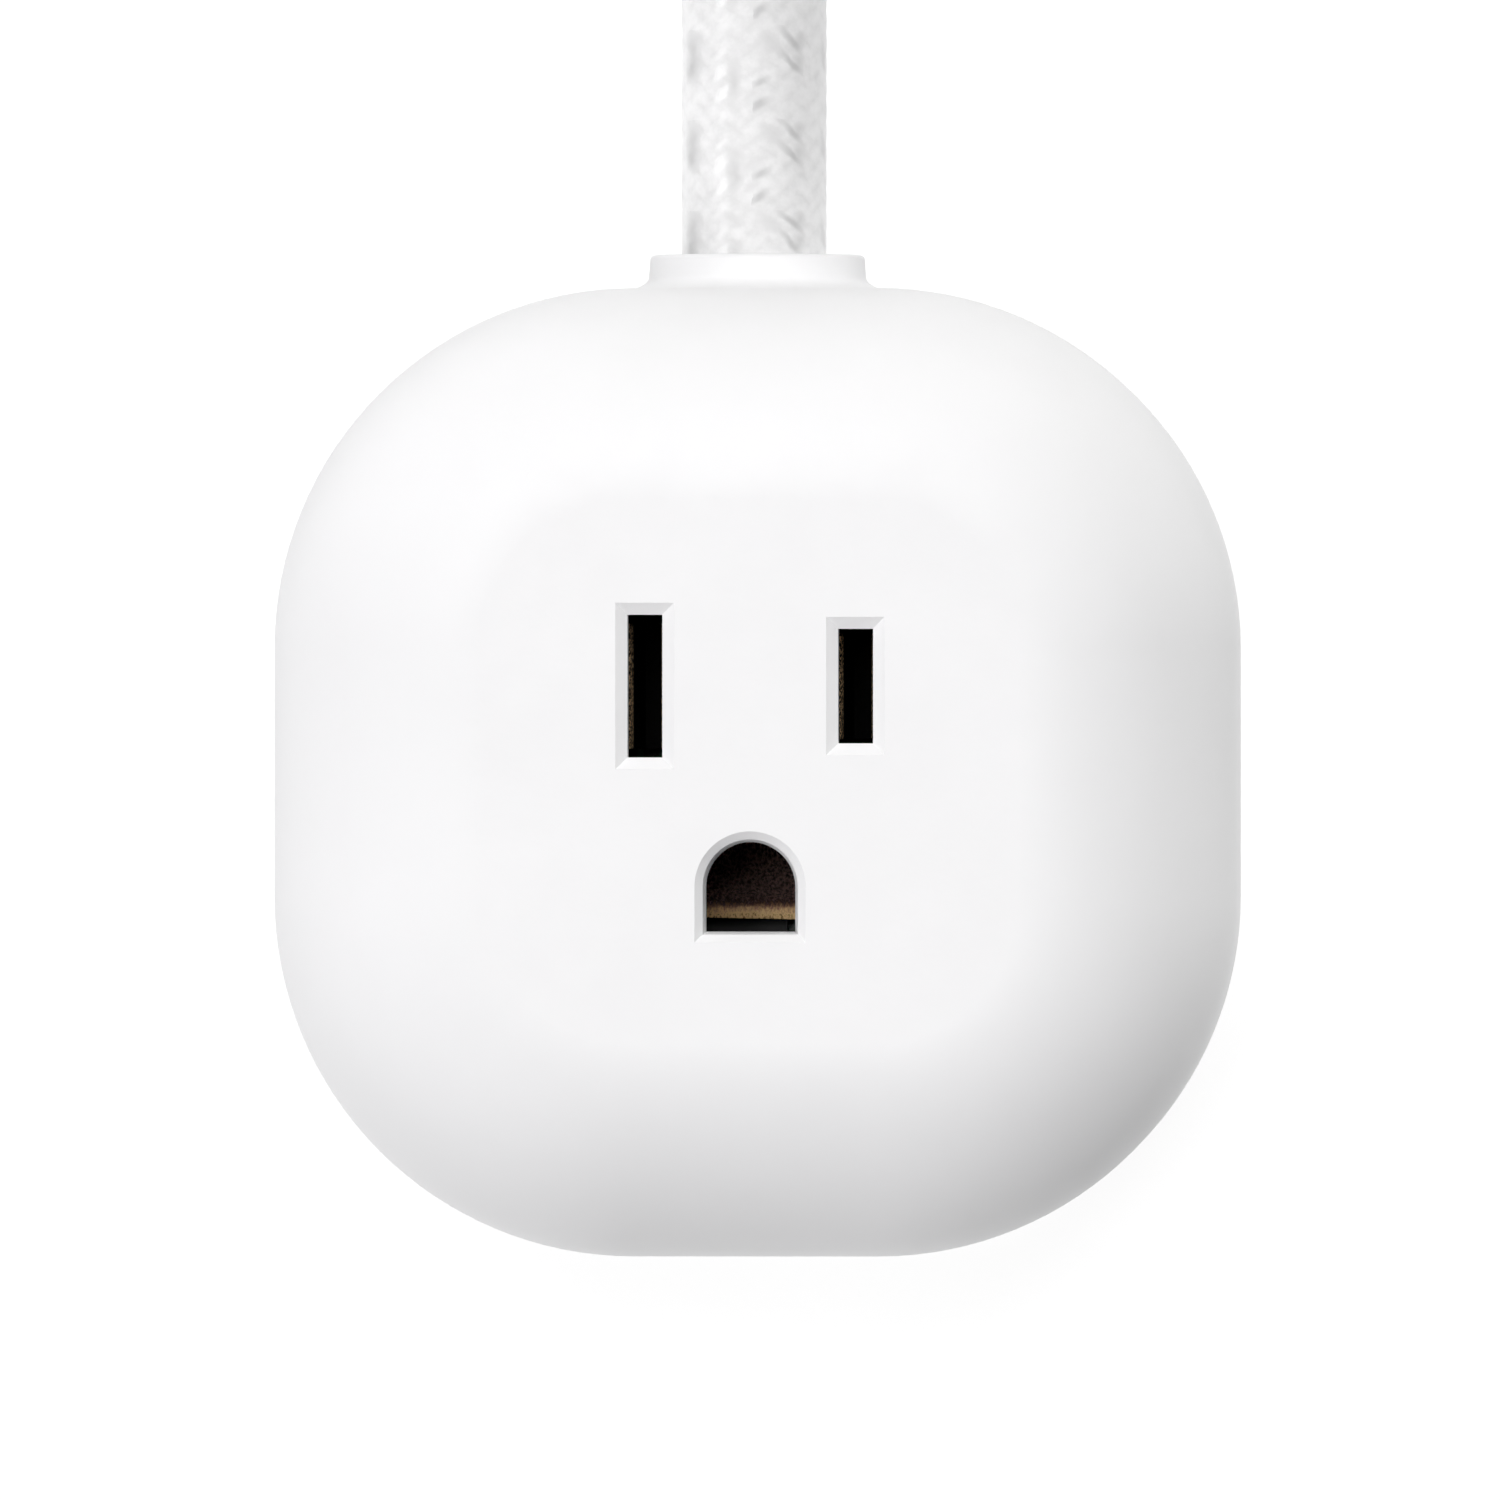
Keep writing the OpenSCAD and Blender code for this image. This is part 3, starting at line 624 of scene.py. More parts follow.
def braid_material():
    """White yarn with grey marks that are partly grey yarn and partly painted shade, glossy beads with a
    painted highlight, painted shade in the weave's gaps and along the lead's top and underside, read from the
    lead's own coordinates.
    """
    paint = Paint("white_braid", Sheen_Weight=0.5, Sheen_Roughness=0.5)
    split = paint.axes(paint.node("ShaderNodeUVMap", uv_map="braid").outputs["UV"])
    wander = paint.math("MULTIPLY_ADD", paint.noise(900, 2), 0.3, -0.15)
    drift = paint.math("MULTIPLY_ADD", paint.noise(650, 3), 0.34, -0.17)
    column = paint.math("ADD", split["X"], wander)
    pick = paint.math("ADD", split["Y"], drift)
    u = paint.math("FLOORED_MODULO", column, HALF_ROUND)
    v = paint.math("FLOORED_MODULO", pick, BRAID_REPEAT)
    dark = soft_mark(paint, u, v, BRAID_MARKS[0])
    for mark in BRAID_MARKS[1:]:
        dark = paint.math("ADD", dark, soft_mark(paint, u, v, mark))
    each = paint.math("FRACT", paint.math("ADD", pick, 0.5 - BEAD_AT[1]))
    bead = soft_mark(paint, u, each, (BEAD_AT[0], 0.5, *BEAD_SIZE, BEAD_SLANT, 1.0))
    pulse = paint.math("COSINE", paint.math("MULTIPLY_ADD", pick, math.pi / 2, -0.8 * math.pi))
    bead = paint.math("MULTIPLY", bead, paint.math("MULTIPLY_ADD", pulse, 0.35, 0.6))
    ribs = paint.math("COSINE", paint.math("MULTIPLY", column, 2 * math.pi))
    rising = paint.math("MULTIPLY_ADD", ribs, 0.5, 0.5)
    lines = []
    for weight, phase in (
        (rising, paint.math("SUBTRACT", pick, column)),
        (paint.math("SUBTRACT", 1.0, rising), paint.math("ADD", pick, column)),
    ):
        yarn = paint.math("ABSOLUTE", paint.math("SINE", paint.math("MULTIPLY", phase, math.pi)))
        lines.append(paint.math("MULTIPLY", weight, yarn))
    weave = paint.math("ADD", *lines)
    fibre = paint.noise(2400, 4, 0.6)
    patch = paint.noise(700, 3, 0.5)
    tone = paint.math("MULTIPLY_ADD", fibre, 0.12, paint.math("MULTIPLY", patch, 0.14))
    # Painted shade: darker along the top and underside of the lead, lighter at its sides.
    turn = paint.math("COSINE", paint.math("MULTIPLY", column, 2 * math.pi / HALF_ROUND))
    tone = paint.math("ADD", tone, paint.math("MULTIPLY_ADD", turn, 0.04, 0.03))
    # Grey marks: partly grey yarn, partly painted shade where yarns dip under.
    tone = paint.math("ADD", tone, paint.math("MULTIPLY", dark, 0.5))
    # Painted highlight: the beads are lightened in colour.
    tone = paint.math("SUBTRACT", tone, paint.math("MULTIPLY", bead, 0.24))
    # Painted shade: the weave's gaps are darker than its crests.
    tone = paint.math("SUBTRACT", tone, paint.math("MULTIPLY", weave, 0.055))
    stops = [(at, (grey, grey, grey)) for at, grey in BRAID_TONES]
    height = paint.math("ADD", paint.math("MULTIPLY", weave, 0.4), bead)
    base = paint.bump(height, 0.1 * MM, 0.35)
    return paint.surface((tone, stops), (bead, 0, 0.5, 0.55, 0.25), (fibre, 0.02 * MM, 0.3, base))


cord, cord_path = build_cord()
smooth(cord, 60, weighted=False)
finish_piece(
    cord, braid_material(), "cord_braid",
    "cord_end", "power_cord", "cord_coil", "cord_tail",
)


# ---------- housing ----------

BODY = high("front_shell") - low("rear_shell")
BODY_SIZE = (BODY.x, BODY.y)
EDGE_Y = high("front_shell").y
SEAM_Z = low("front_shell").z
CORNER_R = 21.8 * MM
FRONT_R = 13 * MM
BACK_R = 4 * MM
WALL = 2.4 * MM
LIP_OUT = 1.1 * MM
LIP_IN = 1.2 * MM
LIP_HIGH = SEAM_Z + 1.6 * MM
LIP_GAP = 0.2 * MM
SEAM_EDGE = 0.12 * MM
POST_AT = 17 * MM
AXIS_Z = SEAM_Z


def wall_profile(start_z, end_z, inset, steps):
    return [(inset, start_z + (end_z - start_z) * i / steps) for i in range(steps + 1)]


def edge_profile(radius, inset, z, steps, upwards=True):
    """A quarter circle from the side wall over to the flat, as (inset, z)."""
    sign = 1 if upwards else -1
    out = []
    for i in range(steps + 1):
        a = math.pi / 2 * i / steps
        out.append((inset + radius * (1 - math.cos(a)), z + sign * radius * math.sin(a)))
    return out


def shell(name, profile):
    return loft(name, [pillow_ring(BODY_SIZE, CORNER_R, inset, z) for inset, z in profile])


# Cutters reach this far into a wall, this far out of a side, and this far over the face
CUT_IN = 4 * MM
CUT_OUT = 1 * MM
CUT_OVER = 3 * MM
SLOT_PITCH = 12.7 * MM
SLOT_Y = 5.2 * MM
SLOT_W = 2.1 * MM
NEUTRAL_LEN = 8.6 * MM
HOT_LEN = 6.9 * MM
SLOT_BEVEL = 0.72 * MM
SLOT_SLOPE = 0.62
ARCH_SLOPE = 0.85
ARCH_Y = -6.9 * MM
ARCH_HALF = 2.7 * MM
ARCH_STEP = 0.17 * MM
ARCH_BEVEL = 0.48 * MM
ARCH_DRAFT = 0.6 * MM


def slot_cutter(x, length):
    """Blade slot with a mitred bevel that opens to the face."""
    drop = SLOT_BEVEL * SLOT_SLOPE
    levels = [
        (FACE_Z - CUT_IN, 0), (FACE_Z - drop, 0),
        (FACE_Z + drop, 2 * SLOT_BEVEL), (FACE_Z + CUT_OVER, 2 * SLOT_BEVEL),
    ]
    square = ((-1, -1), (1, -1), (1, 1), (-1, 1))
    rings = []
    for z, grow in levels:
        a = SLOT_W / 2 + grow
        b = length / 2 + grow
        rings.append([Vector((x + sx * a, SLOT_Y + sy * b, z)) for sx, sy in square])
    return loft("slot_cutter", rings)


def arch_ring(half, z):
    """Round above, flat below: the outline of the ground opening."""
    ring = [Vector((x, ARCH_Y + y, z)) for x, y in arc((0, 0), half, 0, 180, 40)]
    return ring + [Vector((-half, ARCH_Y - half, z)), Vector((half, ARCH_Y - half, z))]


def ground_cutter():
    """Arch with a steep drafted throat and a bevel at the face."""
    drop = ARCH_BEVEL * ARCH_SLOPE
    mouth = ARCH_HALF + ARCH_STEP
    levels = [
        (FACE_Z - CUT_IN, ARCH_HALF), (FACE_Z - drop - ARCH_DRAFT, ARCH_HALF), (FACE_Z - drop, mouth),
        (FACE_Z + drop, mouth + 2 * ARCH_BEVEL), (FACE_Z + CUT_OVER, mouth + 2 * ARCH_BEVEL),
    ]
    return loft("ground_cutter", [arch_ring(half, z) for z, half in levels])


BUTTON_Z = middle("power_button").z
BUTTON_LEN = 9 * MM
BUTTON_H = 4.2 * MM
BUTTON_GAP = 0.2 * MM
BUTTON_CHAMFER = 0.2 * MM
BUTTON_FACE = low("power_button").y
LIGHT_Z = middle("light_pipe").z
LIGHT_R = 0.75 * MM
LIGHT_GAP = 0.05 * MM
LIGHT_BEVEL = 0.12 * MM
NECK_R = 5.5 * MM
NECK_LONG = 6 * MM


def stadium_ring(length, height, y):
    """Outline of the button or of its opening, facing -Y."""
    half = (length - height) / 2
    r = height / 2
    flat = arc((half, 0), r, -90, 90, 16) + arc((-half, 0), r, 90, 270, 16)
    return [Vector((x, y, BUTTON_Z + z)) for x, z in flat]


def button_cutter():
    rings = []
    for depth, grow in ((-CUT_OUT, BUTTON_CHAMFER + CUT_OUT), (BUTTON_CHAMFER, 0), (CUT_IN, 0)):
        gap = 2 * (BUTTON_GAP + grow)
        rings.append(stadium_ring(BUTTON_LEN + gap, BUTTON_H + gap, depth - BODY.y / 2))
    return loft("button_cutter", rings)


def light_cutter():
    r = LIGHT_R + LIGHT_GAP
    profile = [(0, -CUT_OUT), (r + LIGHT_BEVEL + CUT_OUT, -CUT_OUT), (r, LIGHT_BEVEL)]
    profile += [(r, CUT_IN), (0, CUT_IN)]
    return lathe("light_cutter", profile, (0, -BODY.y / 2, LIGHT_Z), "Y", 32)


def neck_cutter():
    return rod("neck_cutter", (0, EDGE_Y - WALL - 1.5 * MM, AXIS_Z), NECK_R, NECK_LONG, "Y", 64)


def corners():
    return [(sx * POST_AT, sy * POST_AT) for sx in (-1, 1) for sy in (-1, 1)]


def build_front_cover():
    """Front half: a rebate for the other half's lip, four posts, and its openings."""
    outside = edge_profile(FRONT_R, 0, FACE_Z - FRONT_R, 40)
    outside.reverse()
    outside += wall_profile(FACE_Z - FRONT_R, SEAM_Z + SEAM_EDGE, 0, 6)[1:]
    rebate = LIP_HIGH + LIP_GAP
    rim = [(SEAM_EDGE, SEAM_Z), (LIP_OUT, SEAM_Z), (LIP_OUT, rebate), (WALL, rebate)]
    inside = edge_profile(FRONT_R - WALL, WALL, FACE_Z - FRONT_R, 12)
    piece = shell("front_cover", outside + rim + inside)
    profile = mm((1.3, 0), (3.3, 0), (3.3, 18.5), (0, 18.5), (0, 13), (1.3, 13))
    for x, y in corners():
        fuse(piece, lathe("post", profile, (x, y, SEAM_Z), "Z", 32))
    carve(
        piece, slot_cutter(-SLOT_PITCH / 2, NEUTRAL_LEN), slot_cutter(SLOT_PITCH / 2, HOT_LEN),
        ground_cutter(), button_cutter(), light_cutter(), neck_cutter(),
    )
    return smooth(piece)


def build_rear_cover():
    """Back half: a lip at the seam, and a screw recess through each of its four posts."""
    outside = edge_profile(BACK_R, 0, BACK_R, 16, upwards=False)
    outside.reverse()
    outside += wall_profile(BACK_R, SEAM_Z - SEAM_EDGE, 0, 5)[1:]
    rim = [(SEAM_EDGE, SEAM_Z), (LIP_IN, SEAM_Z), (LIP_IN, LIP_HIGH), (WALL, LIP_HIGH)]
    inside = edge_profile(BACK_R - WALL, WALL, BACK_R, 8, upwards=False)
    piece = shell("rear_cover", outside + rim + inside)
    for x, y in corners():
        fuse(piece, rod("post", (x, y, 1 * MM), 4.2 * MM, SEAM_Z - 1.1 * MM, "Z", 48))
    recess = mm((0, -1), (4.25, -1), (3, 0.25), (3, 4), (1.7, 4), (1.7, 20), (0, 20))
    for x, y in corners():
        carve(piece, lathe("recess", recess, (x, y, 0), "Z", 48))
    carve(piece, neck_cutter())
    return smooth(piece)


white = moulded("housing_white", (0.913, 0.913, 0.917), 0.5, 2200, 0.02, 0.012)
finish_piece(build_front_cover(), white, "housing_white", "front_shell")
finish_piece(build_rear_cover(), white, "housing_white", "rear_shell")


# ---------- collar ----------

COLLAR_TIP = high("cord_grommet").y + 0.4 * MM
COLLAR_R = 6.55 * MM
COLLAR_SIDE = -0.17 * MM


def build_collar():
    """Short collar that flares softly into the housing, its hole centred on the lead."""
    hole = CORD_R + 0.12 * MM
    neck = 5.4 * MM
    flange = 7.2 * MM
    lip = 0.2 * MM
    rim = 0.3 * MM
    flare = (COLLAR_R + 0.08 * MM, 1.7 * MM, 0.8 * MM)
    foot = EDGE_Y + 0.02 * MM
    root = EDGE_Y - 0.1 * MM
    inner = EDGE_Y - 5.4 * MM
    profile = [(hole, inner), (hole, COLLAR_TIP - lip)]
    profile += arc((hole + lip, COLLAR_TIP - lip), lip, 180, 90, 4)[1:]
    profile += arc((COLLAR_R - rim, COLLAR_TIP - rim), rim, 90, 0, 6)
    for i in range(13):
        a = math.pi / 2 * i / 12
        profile.append((flare[0] + flare[1] * (1 - math.cos(a)), foot + flare[2] * (1 - math.sin(a))))
    profile += [(flare[0] + flare[1], root), (neck, root)]
    profile += [(neck, root - WALL), (flange, root - WALL), (flange, inner)]
    piece = lathe("lead_collar", profile, (COLLAR_SIDE, 0, AXIS_Z), "Y", 128)
    for vertex in piece.data.vertices:
        if math.hypot(vertex.co.x - COLLAR_SIDE, vertex.co.z - AXIS_Z) < hole + 0.3 * MM:
            vertex.co.x += CORD_SIDE * MM - COLLAR_SIDE
    return smooth(piece, 40)


finish_piece(build_collar(), white, "housing_white", "cord_grommet")


# ---------- contacts ----------

def strip(name, path, width_axis, width, thickness, at):
    """Bent strip: a path of (across, z), thickened, as wide as width along Y or X."""
    pts = [Vector(p) for p in path]
    left = []
    right = []
    for i, p in enumerate(pts):
        d = (pts[min(i + 1, len(pts) - 1)] - pts[max(i - 1, 0)]).normalized()
        n = Vector((-d.y, d.x)) * thickness / 2
        left.append(p + n)
        right.append(p - n)
    loop = left + right[::-1]
    rings = []
    for shift in (-width / 2, width / 2):
        if width_axis == "Y":
            rings.append([Vector((at[0] + p.x, at[1] + shift, p.y)) for p in loop])
        else:
            rings.append([Vector((at[0] + shift, at[1] + p.x, p.y)) for p in loop])
    return loft(name, rings)


def join(name, *parts):
    """Several closed meshes in one object."""
    bm = bmesh.new()
    for part in parts:
        bm.from_mesh(part.data)
    mesh = bpy.data.meshes.new(name)
    bm.to_mesh(mesh)
    bm.free()
    for part in parts:
        bpy.data.objects.remove(part)
    return link(name, mesh)


LEAF_T = 0.6 * MM
LEAF_AT = 1.15 * MM


def build_blade_contact(name, node, side):
    """Two leaves that spring apart at a flared mouth, joined by a floor, with a tail."""
    x = side * SLOT_PITCH / 2
    top = high(node).z
    base = 14.7 * MM
    length = (high(node) - low(node)).y
    path = []
    for s in (-1, 1):
        half = [(s * (LEAF_AT + 0.32 * MM), top), (s * (LEAF_AT + 0.1 * MM), top - 0.7 * MM)]
        half += [(s * LEAF_AT, top - 1.5 * MM), (s * (LEAF_AT - 0.05 * MM), top - 5 * MM)]
        half += [(s * LEAF_AT, base + 3 * MM), (s * LEAF_AT, base + 0.8 * MM)]
        path += half if s < 0 else half[::-1]
    path[6:6] = [(-0.7 * MM, base), (0.7 * MM, base)]
    leaves = strip(name, path, "Y", length, LEAF_T, (x, SLOT_Y))
    foot = (x - 0.4 * MM, SLOT_Y - 1.5 * MM, low(node).z)
    piece = join(name, leaves, box_piece("tail", foot, (x + 0.4 * MM, SLOT_Y + 1.5 * MM, base)))
    round_edges(piece, 0.08 * MM, 2, 50)
    return smooth(piece, 40)


def build_ground_contact():
    """Channel for the ground pin: a sloped floor that ends in a flat lip, between two side walls."""
    y_back = high("ground_contact").y
    half = 3.48 * MM
    floor = mm((-8.95, 13.5), (-8.3, 13.52), (-8.02, 13.42), (-7.8, 13.2), (-7.3, 12.55), (-5.6, 11.2))
    floor.append((y_back + 0.25 * MM, 10.6 * MM))
    parts = [strip("plate", floor, "X", 2 * half, 0.5 * MM, (0, 0))]
    for x in (-half, half - 0.2 * MM):
        parts.append(box_piece("wall", (x, -8.6 * MM, 13 * MM), (x + 0.2 * MM, -5.2 * MM, 25 * MM)))
    foot = low("ground_contact").z
    parts.append(box_piece("tail", (-1.5 * MM, y_back - 0.5 * MM, foot), (1.5 * MM, y_back, 11.2 * MM)))
    piece = join("ground_channel", *parts)
    # The lip's edge is a little out of square
    for vertex in piece.data.vertices:
        if vertex.co.y < -8.9 * MM:
            vertex.co.y -= 0.02 * vertex.co.x
    round_edges(piece, 0.06 * MM, 2, 50)
    return smooth(piece, 40)


def leaf_metal_painted_shade():
    """Stamped brass with painted shade: near black below its top edge, deeper in the slot, so it is bright
    only in specks at its upper edge.
    """
    paint = Paint("leaf_brass_painted_shade", Metallic=0.5, Specular_IOR_Level=0.1)
    # Painted shade: the leaves turn near black below 27.4 mm, and only their top edge keeps the brass colour.
    height = paint.spread(paint.axes()["Z"], 27.4 * MM, 28.8 * MM, 0, 1.25)
    specks = paint.noise(5600, 2, 0.7)
    tone = paint.math("MULTIPLY", height, specks)
    stops = [(0.0, (0.0012, 0.001, 0.0008)), (0.58, (0.025, 0.015, 0.009)), (0.72, (1.0, 0.75, 0.46))]
    return paint.surface((tone, stops), (specks, 0.3, 0.7, 0.6, 0.45), (specks, 0.03 * MM, 0.6))


def channel_metal_painted_shade():
    """Stamped brass: golden at its lip, with painted shade in brown on the slope behind it, which lies
    deeper.
    """
    paint = Paint("contact_brass", Metallic=0.6)
    # Painted shade: the tone moves from the golden stops to dark brown ones from the lip towards the deeper
    # slope.
    slope = paint.spread(paint.axes()["Y"], -8.7 * MM, -7.6 * MM, 0, 0.5)
    specks = paint.noise(6400, 3, 0.65, paint.stretched((1, 0.5, 1)))
    tone = paint.math("ADD", paint.math("MULTIPLY_ADD", specks, 0.8, -0.2), slope)
    stops = [(0.07, (0.3, 0.16, 0.07)), (0.24, (0.98, 0.7, 0.34)), (0.44, (0.52, 0.29, 0.18)),
             (0.58, (0.22, 0.11, 0.1)), (0.8, (1.0, 0.66, 0.6))]
    return paint.surface((tone, stops), (specks, 0.3, 0.7, 0.62, 0.44), (specks, 0.01 * MM, 0.5))


brass = channel_metal_painted_shade()
leaf = leaf_metal_painted_shade()
for name, node, side in (("neutral_leaves", "neutral_contact", -1), ("hot_leaves", "hot_contact", 1)):
    finish_piece(build_blade_contact(name, node, side), leaf, "contact_brass", node)
finish_piece(build_ground_contact(), brass, "contact_brass", "ground_contact")


# ---------- button and light ----------

def build_button():
    """Shallow dished cap with rounded edges, a flange behind it and a stem to the switch."""
    profile = mm((0, 2.45), (0, 0.35), (0.03, 0.2), (0.1, 0.1), (0.22, 0.03), (0.35, 0), (0.7, 0.02),
                 (1.1, 0.07), (1.5, 0.1))
    rings = [
        stadium_ring(BUTTON_LEN - 2 * inset, BUTTON_H - 2 * inset, BUTTON_FACE + back)
        for inset, back in profile
    ]
    cap = loft("cap", rings)
    rings = [
        stadium_ring(BUTTON_LEN + 2 * MM, BUTTON_H + 1 * MM, BUTTON_FACE + back * MM) for back in (2.4, 3.2)
    ]
    flange = loft("flange", rings)
    stem_start = BUTTON_FACE + 3.1 * MM
    stem = rod("stem", (0, stem_start, BUTTON_Z), 1.5 * MM, high("power_button").y - stem_start, "Y", 32)
    piece = join("button_cap", cap, flange, stem)
    return smooth(piece, 35)


def build_light():
    """Clear rod with a domed end, nearly flush with the housing."""
    profile = mm((0, 0.02), (0.3, 0.035), (0.55, 0.09), (0.7, 0.2))
    profile += [(LIGHT_R, 0.35 * MM), (LIGHT_R, 6.9 * MM), (0, 6.9 * MM)]
    return smooth(lathe("light_guide", profile, (0, -BODY.y / 2, LIGHT_Z), "Y", 32), 50)


button_white = moulded("button_white", (0.9, 0.9, 0.9), 0.36, 3000, 0.012)
finish_piece(build_button(), button_white, "button_white", "power_button", body="button")


def clear_material():
    paint = Paint("light_guide", Transmission_Weight=0.85, IOR=1.49)
    stops = [(0.3, (0.86, 0.9, 0.95)), (0.7, (0.95, 0.97, 1.0))]
    paint.set("Base Color", paint.ramp(paint.noise(500, 2), stops))
    paint.set("Roughness", paint.spread(paint.noise(900, 3), 0.3, 0.7, 0.12, 0.24))
    return paint.material


finish_piece(build_light(), clear_material(), "clear_plastic", "light_pipe")


# ---------- the plug on the lead's far end ----------

PLUG = middle("plug_body")
PLUG_LOW = low("plug_body").z
PLUG_HIGH = high("plug_body").z
PLUG_SIZE = ((high("plug_body") - low("plug_body")).x, (high("plug_body") - low("plug_body")).y)
PLUG_CORNER = 12 * MM
PLATE_CORNER = 8 * MM
GRIP_PITCH = 1.9 * MM
PLUG_FRONT_R = 5 * MM
PLUG_BACK_R = 3 * MM


def build_plug_body():
    """Flat rounded plug with a shallow seat for its face plate and grip ridges at its sides."""
    at = (PLUG.x, PLUG.y)
    profile = edge_profile(PLUG_BACK_R, 0, PLUG_LOW + PLUG_BACK_R, 12, upwards=False)
    profile.reverse()
    profile += wall_profile(PLUG_LOW + PLUG_BACK_R, PLUG_HIGH - PLUG_FRONT_R, 0, 4)[1:]
    profile += edge_profile(PLUG_FRONT_R, 0, PLUG_HIGH - PLUG_FRONT_R, 20)[1:]
    rings = [pillow_ring(PLUG_SIZE, PLUG_CORNER, inset, z, at, 24, 4) for inset, z in profile]
    piece = loft("plug_shell", rings)
    seat = (high("plug_insert") - low("plug_insert")).x + 0.06 * MM
    levels = (low("plug_insert").z, PLUG_HIGH + 2 * MM)
    carve(piece, loft("seat", [pillow_ring((seat, seat), PLATE_CORNER, 0, z, at, 20, 2) for z in levels]))
    for side in (-1, 1):
        x = PLUG.x + side * (PLUG_SIZE[0] / 2 + 0.35 * MM)
        for k in range(5):
            y = PLUG.y + (k - 2) * GRIP_PITCH
            carve(piece, rod("groove", (x, y, PLUG_LOW + 1.5 * MM), 0.75 * MM, 9 * MM, "Z", 20))
    start = (PLUG.x, low("plug_body").y - 1 * MM, middle("plug_strain_relief").z)
    carve(piece, rod("bore", start, CORD_R, 8 * MM, "Y", 48))
    return smooth(piece)


def build_plug_insert():
    """Face plate with a softly rounded edge, holding the two blades and the pin."""
    a = low("plug_insert")
    b = high("plug_insert")
    at = ((a.x + b.x) / 2, (a.y + b.y) / 2)
    size = (b.x - a.x, b.y - a.y)
    edge = 0.25 * MM
    profile = [(0, a.z), (0, b.z - edge)] + edge_profile(edge, 0, b.z - edge, 4)[1:]
    rings = [pillow_ring(size, PLATE_CORNER, inset, z, at, 20, 2) for inset, z in profile]
    return smooth(loft("plug_face", rings))


def build_blade(name, node):
    """Flat blade with a chamfered tip, softened edges and a round hole."""
    a = low(node)
    b = high(node)
    thin = (b.x - a.x) / 2
    tip = 0.4 * MM
    x = (a.x + b.x) / 2
    slope = b.z - 1.2 * MM
    outline = [(-thin, a.z), (thin, a.z), (thin, slope), (thin - tip, b.z), (tip - thin, b.z), (-thin, slope)]
    piece = loft(name, [[Vector((x + px, y, z)) for px, z in outline] for y in (a.y, b.y)])
    round_edges(piece, 0.14 * MM, 2, 20)
    carve(piece, rod("hole", (x - 2 * MM, (a.y + b.y) / 2, b.z - 4.6 * MM), 1.6 * MM, 4 * MM, "X", 40))
    return smooth(piece, 30)


def build_pin():
    """Round ground pin with a domed tip."""
    node = "plug_ground_pin"
    r = (high(node) - low(node)).x / 2
    foot = low(node).z
    dome = high(node).z - r
    profile = [(0, foot), (1.9 * MM, foot), (1.9 * MM, PLUG_HIGH), (r, PLUG_HIGH)]
    profile += arc((0, dome), r, 0, 90, 12)
    return smooth(lathe("ground_pin", profile, (middle(node).x, middle(node).y, 0), "Z", 64), 40)


def build_strain_relief():
    """Tapered sleeve with rings cut into it, so that it bends evenly."""
    node = "plug_strain_relief"
    a = low(node).y
    b = high(node).y
    reach = b - a
    inner = CORD_R - 0.1 * MM
    rings = 7
    first = 0.1
    spread = 0.78
    soft = 0.12 * MM
    end_r = 4.75 * MM
    round_off = 0.2 * MM
    profile = [(inner, a), (end_r, a)] + arc((end_r, a + round_off), round_off, -90, 0, 3)[1:]
    for k in range(rings):
        start = a + reach * (first + spread * k / rings)
        end = a + reach * (first + spread * (k + 0.5) / rings)
        r = 5.0 * MM + 1.4 * MM * ((start - a) / reach) ** 1.3
        floor = r - 0.45 * MM
        profile += [(r, start - soft), (r - soft, start), (floor, start + soft), (floor, end - soft),
                    (r - soft * 0.7, end), (r, end + soft)]
    profile += [(6.3 * MM, b - 1.4 * MM), (6.6 * MM, b + 0.3 * MM), (inner, b + 0.3 * MM)]
    return smooth(lathe("plug_relief", profile, (middle(node).x, 0, middle(node).z), "Y", 96), 40)


plug_white = moulded("plug_white", (0.89, 0.89, 0.89), 0.5, 2600, 0.02)
insert_grey = moulded("insert_grey", (0.74, 0.74, 0.75), 0.3, 1800, 0.008)
plated = rolled_metal("blade_brass", (0.66, 0.51, 0.29), (0.78, 0.62, 0.37), 0.24, (1, 1, 0.08), 4200)
plug_parts = [
    finish_piece(build_plug_body(), plug_white, "plug_white", "plug_body"),
    finish_piece(build_plug_insert(), insert_grey, "insert_grey", "plug_insert"),
    *[
        finish_piece(build_blade(name, "plug_" + name), plated, "contact_brass", "plug_" + name)
        for name in ("hot_blade", "neutral_blade")
    ],
    finish_piece(build_pin(), plated, "contact_brass", "plug_ground_pin"),
    finish_piece(build_strain_relief(), plug_white, "plug_white", "plug_strain_relief"),
]


# ---------- the strap round the coil ----------

TIE_TURN = math.radians(40)
TIE_WIDTH = 14 * MM
TIE_T = 1.0 * MM
COIL_HIGH = high("cord_coil").z
COIL_MID_R = 44 * MM


def tie_loop(grow):
    """Section of the coil's two by three turns with rounded corners, grown outwards."""
    r = CORD_R + grow
    half_w = CORD_D
    half_h = COIL_HIGH / 2 - CORD_R
    out = []
    for turn, (sx, sz) in enumerate(((1, 1), (-1, 1), (-1, -1), (1, -1))):
        at = (sx * half_w - sx * CORD_R, sz * half_h)
        corner = arc(at, r, 90 * turn, 90 * turn + 90, 10)
        if out:
            out += between(out[-1], corner[0], 8)
        out += corner
    return out + between(out[-1], out[0], 8)


